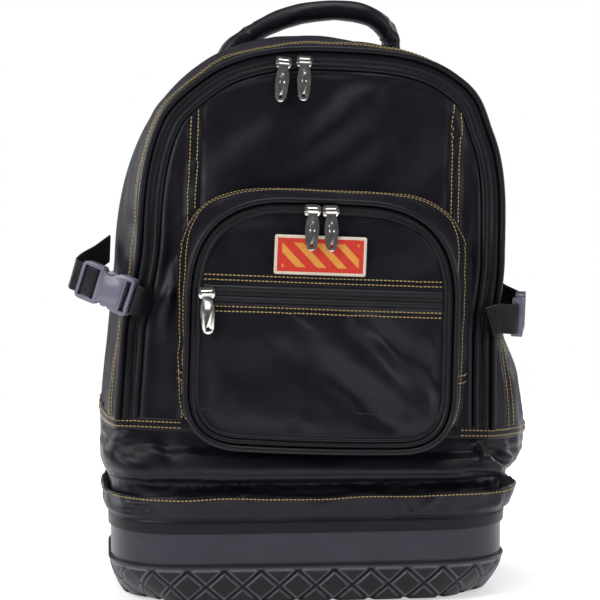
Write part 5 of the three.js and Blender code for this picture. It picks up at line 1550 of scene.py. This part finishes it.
def zip_pulls():
    pull, slider = pull_shape(), slider_shape()
    for joint in frame["joints"]:
        name = joint["name"].replace("_swing", "")
        across = -unit(joint["axis"])
        at = np.array(joint["pos_m"]) * 1000
        node_points = np.array([v.co for v in frame["nodes"][name + "_pull"].data.vertices]) * 1000
        far = node_points[np.linalg.norm(node_points - at, axis=1) > PULL_LENGTH * 0.9].mean(0) - at
        far = far - across * (far @ across)
        hang = unit(far)
        front = np.cross(hang, across)
        hang = unit(far - front * 0.85)
        front = np.cross(hang, across)
        made = hard(name + "_tab_plate", placed(pull, at, [across, -front, -hang]), nickel, "nickel",
                    body=name + "_tab", lean=False, sharp=35)
        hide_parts(name + "_pull")
        ahead = np.array([0.0, -1.0, 0.0])
        seat = at - ahead * BAR_LIFT
        made = hard(name + "_zip_slider", placed(slider, seat, [across, -ahead, np.cross(ahead, across)]),
                    nickel, "nickel", lean=False, sharp=35)
        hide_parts(name + "_slider")


zip_pulls()

# Patch on the pocket


PATCH_EDGES = (0.0024, 0.0062)  # how far in the pale border and the red edge reach, in metres
PATCH_COLOURS = (
    ((0.4, 0.015, 0.008), (0.62, 0.04, 0.018)),
    ((0.55, 0.2, 0.025), (0.68, 0.31, 0.055)),
    ((0.5, 0.43, 0.34), (0.68, 0.61, 0.51)),
)


def patch_cloth():
    """Red weave with a pale border and slanting amber bars."""
    material, tree, main = shader("patch_cloth", (0.6, 0.03, 0.015), 0.55, specular=0.35)
    uv = node(tree, "ShaderNodeTexCoord").outputs["UV"]
    apart = node(tree, "ShaderNodeSeparateXYZ", {"Vector": uv})

    def beyond(value, limit, soft=0.0003):
        return ranged(tree, worked(tree, "ABSOLUTE", value), start=(limit - soft, limit + soft))

    x, y = apart.outputs["X"], apart.outputs["Y"]
    half_x, half_y = LABEL_WIDTH / 2000, LABEL_HEIGHT / 2000
    border, edge = (
        worked(tree, "MAXIMUM", beyond(x, half_x - reach), beyond(y, half_y - reach)) for reach in PATCH_EDGES
    )
    wave = worked(tree, "PINGPONG", worked(tree, "ADD", x, y), 0.0085)
    bars = ranged(tree, wave, start=(0.0045, 0.0049))
    hatch = worked(tree, "MULTIPLY", bars, worked(tree, "SUBTRACT", 1.0, edge))
    weave = waves(tree, uv, 260.0, "X", Distortion=1.0)
    shade = blended(tree, weave, clouds(tree, uv, 160.0, 3.0))
    red, amber, pale = (ramp(tree, shade, low, high, 0.2, 0.8) for low, high in PATCH_COLOURS)
    field = node(tree, "ShaderNodeMix", {"Factor": hatch}, data_type="RGBA")
    tree.links.new(red, field.inputs["A"])
    tree.links.new(amber, field.inputs["B"])
    whole = node(tree, "ShaderNodeMix", {"Factor": border}, data_type="RGBA")
    tree.links.new(field.outputs["Result"], whole.inputs["A"])
    tree.links.new(pale, whole.inputs["B"])
    tree.links.new(whole.outputs["Result"], main.inputs["Base Color"])
    bumped(tree, main, weave, 0.0001, 0.6)
    return material


def label_patch():
    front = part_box("label_patch")[0].y * 1000
    nu, nv = 96, 44
    half_x, half_z, turn = LABEL_WIDTH / 2, LABEL_HEIGHT / 2, 1.8
    u = np.linspace(-1, 1, nu + 1)[:, None] * half_x + np.zeros((1, nv + 1))
    v = np.linspace(-1, 1, nv + 1)[None, :] * half_z + np.zeros((nu + 1, 1))
    cu, cv = np.maximum(np.abs(u) - half_x + turn, 0), np.maximum(np.abs(v) - half_z + turn, 0)
    far = np.hypot(cu, cv)
    pull_in = np.where((cu > 0) & (cv > 0), np.maximum(cu, cv) / np.maximum(far, 1e-6), 1.0)
    x = np.sign(u) * (np.abs(u) - cu * (1 - pull_in))
    z = np.sign(v) * (np.abs(v) - cv * (1 - pull_in))
    edge = np.minimum(half_x - np.abs(u), half_z - np.abs(v))
    rim = 0.45 * hump(edge - 1.2, 0.9) + 0.1 * np.cos(u * 5) * (edge < 2.2)
    round_off = 0.7 * hump(edge, 0.35)
    points = np.stack([x + LABEL_X, np.full_like(x, front + 0.5) - rim + round_off, z + LABEL_Z], -1)
    inner = points.copy()
    inner[..., 1] = front + 1.7
    uv = np.stack([u.ravel(), v.ravel()], -1) / 1000
    piece = wall_piece("red_patch", points, inner, patch_cloth(), "label", uv=uv)
    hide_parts("label_patch")


label_patch()

# Webbing and buckles


def web_section(width=WEB_WIDTH, thick=WEB_THICK, ribs=11):
    across = np.linspace(-1, 1, ribs * 4 + 1)
    rib = 0.16 * np.cos(across * np.pi * ribs)
    edge = np.clip((1 - np.abs(across)) * 12, 0.25, 1) ** 0.5
    top = np.stack([across * width / 2, (thick / 2 * edge + rib * edge)], -1)
    low = np.stack([across[::-1] * width / 2, -(thick / 2 * edge + rib * edge)[::-1]], -1)
    return np.concatenate([top, low])


def turned(a, b, count):
    t = smooth(np.linspace(0, 1, count + 1))[:, None]
    return lerp(np.asarray(a, float), np.asarray(b, float), t)


def socket_shape():
    right = [(0, 13.6), (1.2, 15.6), (5, 16), (13, 15.8), (17.5, 14.4), (20.5, 11.6), (25.5, 11.0),
             (28, 12.6), (29, 13.6)]
    outline = right + [(x, -z) for x, z in right[::-1]]
    body = prism(outline, -4.5, 4.5)
    crest = [(9.5, 8.8), (15, 9.6), (22, 7.6), (26.5, 7.4)]
    ridge = prism(crest + [(x, -z) for x, z in crest[::-1]], -5.1, -4.0)
    cuts = [
        block(2.5, 7.4, -6, 6, -13.0, 13.0),
        block(9.6, 30, -2.6, 2.6, -12.4, 12.4),
        block(13.5, 27, -2.6, 2.6, -17, 17),
    ]
    return carved(body, adds=[ridge], cuts=cuts, round_=0.7)


def plug_shape():
    right = [(29.3, 14.2), (31, 16), (46, 16), (48.8, 15), (50, 12.8)]
    outline = right + [(x, -z) for x, z in right[::-1]]
    body = prism(outline, -4.0, 4.0)
    guide = prism([(12, 3.4), (31, 4.4), (31, -4.4), (12, -3.4)], -2.1, 2.1)
    arm = [(11.5, 9.4), (15, 11.2), (18.5, 13.4), (21.5, 15.0), (24.5, 15.1), (27.0, 12.8), (31, 11.8),
           (31, 8.6), (20, 8.8), (12.6, 7.8)]
    arms = [prism([(x, s * z) for x, z in arm], -2.1, 2.1) for s in (1, -1)]
    cuts = [block(33.0, 47.4, -6, -2.2, -12.9, 12.9), block(44.6, 47.4, -6, 6, -12.9, 12.9),
            block(33.0, 35.8, -6, 6, -12.9, 12.9)]
    return carved(body, adds=[guide] + arms, cuts=cuts, round_=0.6)


# Each side strap: its side, how far its buckle starts beyond, before and above the front's edge, the
# buckle's turn back and tilt up in degrees, and how far the webbing behind it climbs
SIDE_STRAPS = [
    ("left", -1, 5.0, 15.0, 7.0, 28.0, 17.0, 18.0),
    ("right", 1, 14.0, 0.0, 0.0, 75.0, 6.0, 8.0),
]
WEB_TURN = [(34.4, -1.0), (34.8, 2.6), (40.2, 3.5), (45.6, 2.6), (46.0, -1.0)]  # along the buckle, and out
FRONT_SLOPE = (FRONT_TOP_Y - FRONT_FOOT_Y) / (FRONT_TOP - SEAM)


def front_edge_x(sign, z):
    t = np.linspace(0, 1, 201)
    x, height = front_arch(t, 0.0)
    side = x * sign > 0
    return x[side][np.argmin(np.abs(height[side] - z))]


def buckle_ways(sign, turn, tilt):
    """Where a side buckle points and where its front faces."""
    yaw, pitch = math.radians(turn), math.radians(tilt)
    flat = math.cos(pitch)
    along = np.array([sign * math.cos(yaw) * flat, math.sin(yaw) * flat, math.sin(pitch)])
    return along, np.array([sign * math.sin(yaw), -math.cos(yaw), 0.0])


def front_web(side, sign, start, along, out, edge, beyond, tilt):
    """Webbing from the front's zip band into the socket, round the front's edge if the buckle is far out."""
    edge_x, edge_y, z = edge
    panel_x = edge_x - sign * ZIP_BAND * (1 if beyond < 10 else 0.4)
    panel_z = z - abs(start[0] - panel_x) * math.tan(math.radians(tilt))
    slant = FRONT_SLOPE * WEB_WIDTH / 2 + WEB_THICK + 2 * FIT
    on_band = float(front_y(np.float64(panel_x), np.float64(panel_z))) - 2 * PIPING - slant
    near = start - along * (FIT + WEB_THICK / 2)
    points = [np.array([panel_x, on_band, panel_z]), near - along * WEB_WIDTH / 8, near + along * 3]
    if beyond > 10:
        points.insert(1, np.array([edge_x + sign * WEB_THICK, edge_y - 2 * PIPING - slant, z]))
    path = spaced(points, 40)
    ways = turned((0, -1, 0), out, 40)
    made = swept(side + "_front_webbing", path, web_section(), ways, webbing, "webbing")
    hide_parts(side + "_front_web")


def back_web(side, sign, start, along, out, climb):
    """Webbing from the plug's bar along the side wall to the back, with its turn over the bar."""
    wall_x = (BACK_HALF_WIDTH + SIDE_SWELL / 7) * sign
    back_end = start + along * (BUCKLE_LENGTH + 3 * FIT)
    points = [
        start + along * (BUCKLE_LENGTH - 4.5), back_end, back_end + along * WEB_WIDTH / 4,
        [lerp(back_end[0], wall_x, 0.45), lerp(back_end[1], BACK_Y, 0.6), back_end[2] + climb * 0.6],
        [wall_x + sign * (FIT + WEB_THICK), BACK_Y - WEB_WIDTH / 2, back_end[2] + climb],
    ]
    path = spaced(points, 90)
    ways = turned(out, (sign, 0, 0), 90)
    made = swept(side + "_back_webbing", path, web_section(), ways, webbing, "webbing")
    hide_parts(side + "_back_web")
    over = spaced([start + along * far + out * up for far, up in WEB_TURN], 40)
    swept(side + "_web_turn", over, web_section(width=24, thick=1.4), out, webbing, "webbing")


def side_straps():
    socket, plug = socket_shape(), plug_shape()
    for side, sign, beyond, before, rise, turn, tilt, climb in SIDE_STRAPS:
        z = SEAM + SIDE_STRAP_HEIGHT + rise
        edge_x = front_edge_x(sign, z)
        edge_y = float(front_y(np.float64(edge_x), np.float64(z)))
        start = np.array([sign * (FRONT_HALF_WIDTH + beyond), edge_y - before, z])
        along, out = buckle_ways(sign, turn, tilt)
        axes = [along, -out, np.cross(along, -out)]
        made = hard(side + "_socket", placed(socket, start, axes), buckle_plastic, "buckle", sharp=32)
        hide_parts(side + "_buckle_socket")
        made = hard(side + "_plug", placed(plug, start, axes), buckle_plastic, "buckle", sharp=32)
        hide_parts(side + "_buckle_plug")
        front_web(side, sign, start, along, out, (edge_x, edge_y, z), beyond, tilt)
        back_web(side, sign, start, along, out, climb)


side_straps()

# Handle

HANDLE_LINE = [
    (0.0, 0.0, 1.0), (0.025, 0.17, 1.0), (0.065, 0.35, 1.0), (0.145, 0.53, 0.95), (0.24, 0.69, 0.7),
    (0.355, 0.84, 0.4), (0.485, 0.95, 0.15), (0.66, 1.0, 0.0), (0.82, 0.965, 0.1), (0.915, 0.86, 0.4),
    (0.98, 0.69, 0.85), (1.0, 0.44, 1.0), (1.0, 0.0, 1.0),
]


def handle():
    behind = BACK_FACE + FIT + HANDLE_RADIUS - HANDLE_SINK
    points = [
        (lerp(HANDLE_LEFT, HANDLE_RIGHT, across), behind - HANDLE_RADIUS * (1 - back),
         BACK_TOP - HANDLE_LAP + (HANDLE_LAP + HANDLE_RISE) * rise)
        for across, rise, back in HANDLE_LINE
    ]
    path = spaced(points, 230)
    sides = 40
    t = np.linspace(0, 1, 231)[:, None]
    a = 2 * np.pi * (np.arange(sides) + 0.5)[None, :] / sides
    grip = 1 + 0.05 * np.sin(np.pi * np.clip((t - 0.2) / 0.62, 0, 1))
    place = np.stack([t * 300 + 0 * a, 18 * np.cos(a) + 0 * t, 18 * np.sin(a) + 0 * t], -1)
    crumple = hump(t - 0.83, 0.05) + 0.7 * hump(t - 0.17, 0.06)
    push = noise(place, (24, 14, 14), 111) * 0.7 + noise(place, (5, 11, 11), 113) * 1.5 * crumple
    under = np.clip(-np.cos(a - np.pi / 2 - 0.2), 0, 1)
    push = push - 0.9 * under * np.abs(np.sin(t * 42)) ** 4
    seam = 0.4 * hump(np.sin((a - 4.75) / 2), 0.1) - hump(np.sin((a - 4.3) / 2), 0.07)
    flat = 1 - 0.2 * np.clip(np.abs(t - 0.5) * 2 - 0.75, 0, 1) * 4
    radius = HANDLE_RADIUS * grip + push + seam
    section = np.stack([radius * np.cos(a), radius * np.sin(a) * flat], -1)
    made = swept("handle_grip", path, section, (0, -1, 0), nylon, "cloth")
    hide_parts("handle")


handle()

# Padded back, shoulder straps and their fittings


def back_panel():
    nu, nv = 120, 116
    grid = arch_patch(back_arch, FIT, nu, nv)
    foot = np.stack([grid[:, 0, 0], np.full(nu + 1, BACK_PAD_FOOT)], -1)
    lower = lerp(foot[:, None], grid[:, :1], np.linspace(0, 1, 15)[None, :-1, None])
    full = np.concatenate([lower, grid], 1)
    x, z = full[..., 0], full[..., 1]
    across = np.abs(x) / BACK_HALF_WIDTH
    rows = full.shape[1]
    u = np.linspace(0, 1, nu + 1)[:, None]
    v = np.linspace(0, 1, rows)[None, :]
    edge = np.minimum(np.minimum(u, 1 - u) * 2 * BACK_HALF_WIDTH, np.minimum(v, 1 - v) * 380)
    channel = hump(across - 0.36, 0.05)
    cross = hump(z - 210, 7) + hump(z - 345, 7)
    cross = cross * (across < 0.36) * smooth((0.36 - across) * 20)
    swell = np.clip(edge / 26, 0, 1) ** 0.5
    place = np.stack([x, z * 0, z], -1)
    thick = PAD * (0.45 + 0.58 * swell) * (1 - 0.45 * channel) * (1 - 0.35 * cross)
    thick = thick + rumple(place, (40, 40, 40), 121) * 0.8 * swell
    outer = np.stack([x, BACK_Y + FIT + thick, z], -1)
    inner = np.stack([x, np.full_like(x, BACK_Y + FIT), z], -1)
    made = wall_piece("back_pad", outer, inner, mesh_cloth, "back_padding")
    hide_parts("back_panel")
    t = np.linspace(0, 1, 360)
    ax, az = back_arch(t, 1.6)
    side = np.stack([ax, np.full_like(ax, BACK_Y + 6.4), az], -1)
    rise = np.linspace(BACK_PAD_FOOT + 2, SEAM - 2, 16)
    left = [[side[0, 0], BACK_Y + 6.4, q] for q in rise]
    right = [[side[-1, 0], BACK_Y + 6.4, q] for q in rise[::-1]]
    binding = np.concatenate([left, side, right])
    swept("back_binding", binding, round_section(2.1, 12) * [1, 1.5], (0, 1, 0), tape, "trim")


STRAP_LINE = [(0.0, 0.0, 0.0), (0.16, 0.12, 0.02), (0.4, 0.75, 0.14), (0.7, 1.0, 0.34), (1.0, 0.85, 0.56)]


def pad_section(width, thick, sides=64):
    a = 2 * np.pi * (np.arange(sides) + 0.5) / sides
    c, s = np.cos(a), np.sin(a)
    x = np.sign(c) * np.abs(c) ** 0.45 * width / 2
    y = np.sign(s) * np.abs(s) ** 0.62 * thick / 2
    lip = np.clip((np.abs(x) / (width / 2) - 0.84) / 0.16, 0, 1)
    return np.stack([x, y * (1 - 0.35 * smooth(lip))], -1)


def lock_shape():
    outline = [(-17, -9), (-14.5, -12), (14.5, -12), (17, -9), (17, 9), (14.5, 12), (-14.5, 12), (-17, 9)]
    bar = block(-13, 13, 1.5, 3.8, -1.6, 1.6)
    cuts = [block(-13, 13, -6, 6, 2.4, 9.4), block(-13, 13, -6, 6, -9.4, -2.4)]
    return carved(prism(outline, -3, 3), adds=[bar], cuts=cuts, round_=0.8)


BACKWARD = np.array([0.0, 1.0, 0.0])
STRAP_STATIONS = 110
STRAP_SIDES = 64
down_strap = np.linspace(0, 1, STRAP_STATIONS + 1)
strap_narrow = 1 - 0.2 * smooth((down_strap - 0.82) / 0.18)
strap_ends = 1 - 0.16 * np.exp(-((1 - down_strap) / 0.03)) - 0.1 * np.exp(-(down_strap / 0.03))


def strap_path(sign):
    top = BACK_TOP - STRAP_DROP
    near = BACK_FACE + FIT + STRAP_THICK / 2
    line = [
        (sign * STRAP_SPACING * (1 + apart), near + STRAP_STAND_OFF * out, top - STRAP_LENGTH * down)
        for down, out, apart in STRAP_LINE
    ]
    return spaced(line, STRAP_STATIONS)


def strap_pad(side, path):
    """The padded strap: narrower toward its foot, with a shallow groove along its middle."""
    plain = pad_section(STRAP_WIDTH, STRAP_THICK, STRAP_SIDES)
    section = np.broadcast_to(plain, (STRAP_STATIONS + 1, STRAP_SIDES, 2)).copy()
    section[..., 0] *= strap_narrow[:, None]
    section *= strap_ends[:, None, None]
    aside = section[..., 0]
    section[..., 1] *= 1 - 0.12 * hump(aside / STRAP_WIDTH * 2, 0.12)
    place = np.stack([aside, aside * 0, down_strap[:, None] * STRAP_LENGTH + 0 * aside], -1)
    section[..., 1] += noise(place, (22, 22, 24), 131) * 0.4 * np.sign(section[..., 1])
    made = swept(side + "_strap_pad", path, section, BACKWARD, mesh_cloth, "cloth")
    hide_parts(side + "_shoulder_strap")


def strap_trim(side, path):
    """The binding of both edges, and the webbing down the back of the strap."""
    _, across, out = frames(path, BACKWARD)
    half = STRAP_WIDTH / 2 * strap_narrow * strap_ends - 0.6
    section = round_section(2.0, 10) * [1, 1.2]
    for k, edge in enumerate((-1, 1)):
        rim = path + across * (edge * half)[:, None]
        swept(f"{side}_strap_binding_{k}", rim[1:-1], section, BACKWARD, tape, "trim")
    strip = path[6:] + out[6:] * (STRAP_THICK / 2 * 0.94 + 0.7)
    swept(side + "_strap_webbing", strip, web_section(thick=1.4), BACKWARD, webbing, "webbing")


def strap_foot(side, sign, path, lock):
    """The ladder lock under the strap, and the webbing from it to the pack's lower corner."""
    along = unit(path[-1] - path[-2])
    out = unit(BACKWARD - along * (BACKWARD @ along))
    lock_at = path[-1] + along * (2 * FIT + LOCK_HEIGHT / 2)
    axes = [np.cross(out, -along), out, -along]
    made = hard(side + "_ladder_lock", placed(lock, lock_at, axes), lock_plastic, "buckle", sharp=35)
    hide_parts(side + "_lock")
    web_top = lock_at + along * (LOCK_HEIGHT / 2 - 6)
    below = lock_at + along * (LOCK_HEIGHT / 2 + WEB_WIDTH / 4)
    corner = np.array([sign * BACK_HALF_WIDTH * 0.86, BACK_FACE + FIT + WEB_THICK,
                       BACK_PAD_FOOT + WEB_WIDTH])
    web = spaced([web_top, below, lerp(below, corner, 0.6), corner], 60)
    made = swept(side + "_lower_webbing", web, web_section(), BACKWARD, webbing, "webbing")
    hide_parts(side + "_lower_web")


def shoulder_straps():
    lock = lock_shape()
    for side, sign in (("left", -1), ("right", 1)):
        path = strap_path(sign)
        strap_pad(side, path)
        strap_trim(side, path)
        strap_foot(side, sign, path, lock)


back_panel()
shoulder_straps()

# Camera, lights and floor

CAMERA_PLACE = (-0.1735, -1.7377, 0.3681)
CAMERA_AIM = (-0.0062, 0, 0.246)
camera_data = bpy.data.cameras.new("camera")
camera_data.lens = 120.96
camera_data.sensor_width = 36
camera_data.clip_start = 0.05
camera = bpy.data.objects.new("camera", camera_data)
scene.collection.objects.link(camera)
camera.location = CAMERA_PLACE
aim = Vector(CAMERA_AIM) - camera.location
camera.rotation_euler = aim.to_track_quat("-Z", "Y").to_euler()
scene.camera = camera


def softbox(name, place, target, width, height, power, color=(1, 1, 1)):
    data = bpy.data.lights.new(name, "AREA")
    data.shape = "RECTANGLE"
    data.size = width
    data.size_y = height
    data.energy = power
    data.color = color
    light = bpy.data.objects.new(name, data)
    scene.collection.objects.link(light)
    light.location = place
    light.rotation_euler = (Vector(target) - light.location).to_track_quat("-Z", "Y").to_euler()


softbox("key_left", (-1.7, -1.2, 1.3), (0, 0, 0.25), 0.8, 1.1, 31, (1.0, 0.99, 0.99))
softbox("fill_right", (1.8, -1.0, 0.9), (0, 0, 0.25), 0.7, 1.4, 15, (0.95, 0.96, 1.0))
softbox("top", (0.0, -0.3, 2.1), (0, 0, 0.2), 1.4, 1.0, 26)
softbox("back_left", (-1.6, 1.3, 1.0), (0, 0, 0.25), 1.0, 1.4, 20)
softbox("back_right", (1.6, 1.3, 1.0), (0, 0, 0.25), 1.0, 1.4, 15)

world = bpy.data.worlds.new("studio")
world.use_nodes = True
room = world.node_tree
dim = room.nodes["Background"]
dim.inputs["Color"].default_value = (0.93, 0.94, 1.0, 1)
dim.inputs["Strength"].default_value = 0.1
paper = node(room, "ShaderNodeBackground", {"Color": (1, 1, 1, 1), "Strength": 1.0})
seen = node(room, "ShaderNodeLightPath").outputs["Is Camera Ray"]
chosen = node(room, "ShaderNodeMixShader", {0: seen, 1: dim.outputs[0], 2: paper.outputs[0]})
room.links.new(chosen.outputs[0], room.nodes["World Output"].inputs["Surface"])
scene.world = world
scene.view_settings.view_transform = "Standard"


def floor():
    """A round sheet of white paper that fades into the white of the room."""
    sides, radius = 96, 1.4
    a = 2 * np.pi * np.arange(sides) / sides
    points = np.stack([radius * np.cos(a), radius * np.sin(a), np.full(sides, -0.0006)], -1)
    mesh = bpy.data.meshes.new("floor")
    mesh.from_pydata(points.tolist(), [], [list(range(sides))])
    plane = bpy.data.objects.new("floor", mesh)
    scene.collection.objects.link(plane)
    material, tree, main = shader("floor_paper", (0.86, 0.86, 0.87), 0.6, specular=0.2)
    place = object_place(tree)
    colour = ramp(tree, clouds(tree, place, 3.0, 3.0), (0.84, 0.84, 0.85), (0.88, 0.88, 0.89))
    tree.links.new(colour, main.inputs["Base Color"])
    away = node(tree, "ShaderNodeVectorMath", {0: place}, operation="LENGTH").outputs["Value"]
    main.inputs["Emission Color"].default_value = (0.98, 0.98, 1.0, 1)
    tree.links.new(ranged(tree, away, (0.5, 0.95), (0.3, 1.1)), main.inputs["Emission Strength"])
    mesh.materials.append(material)


floor()
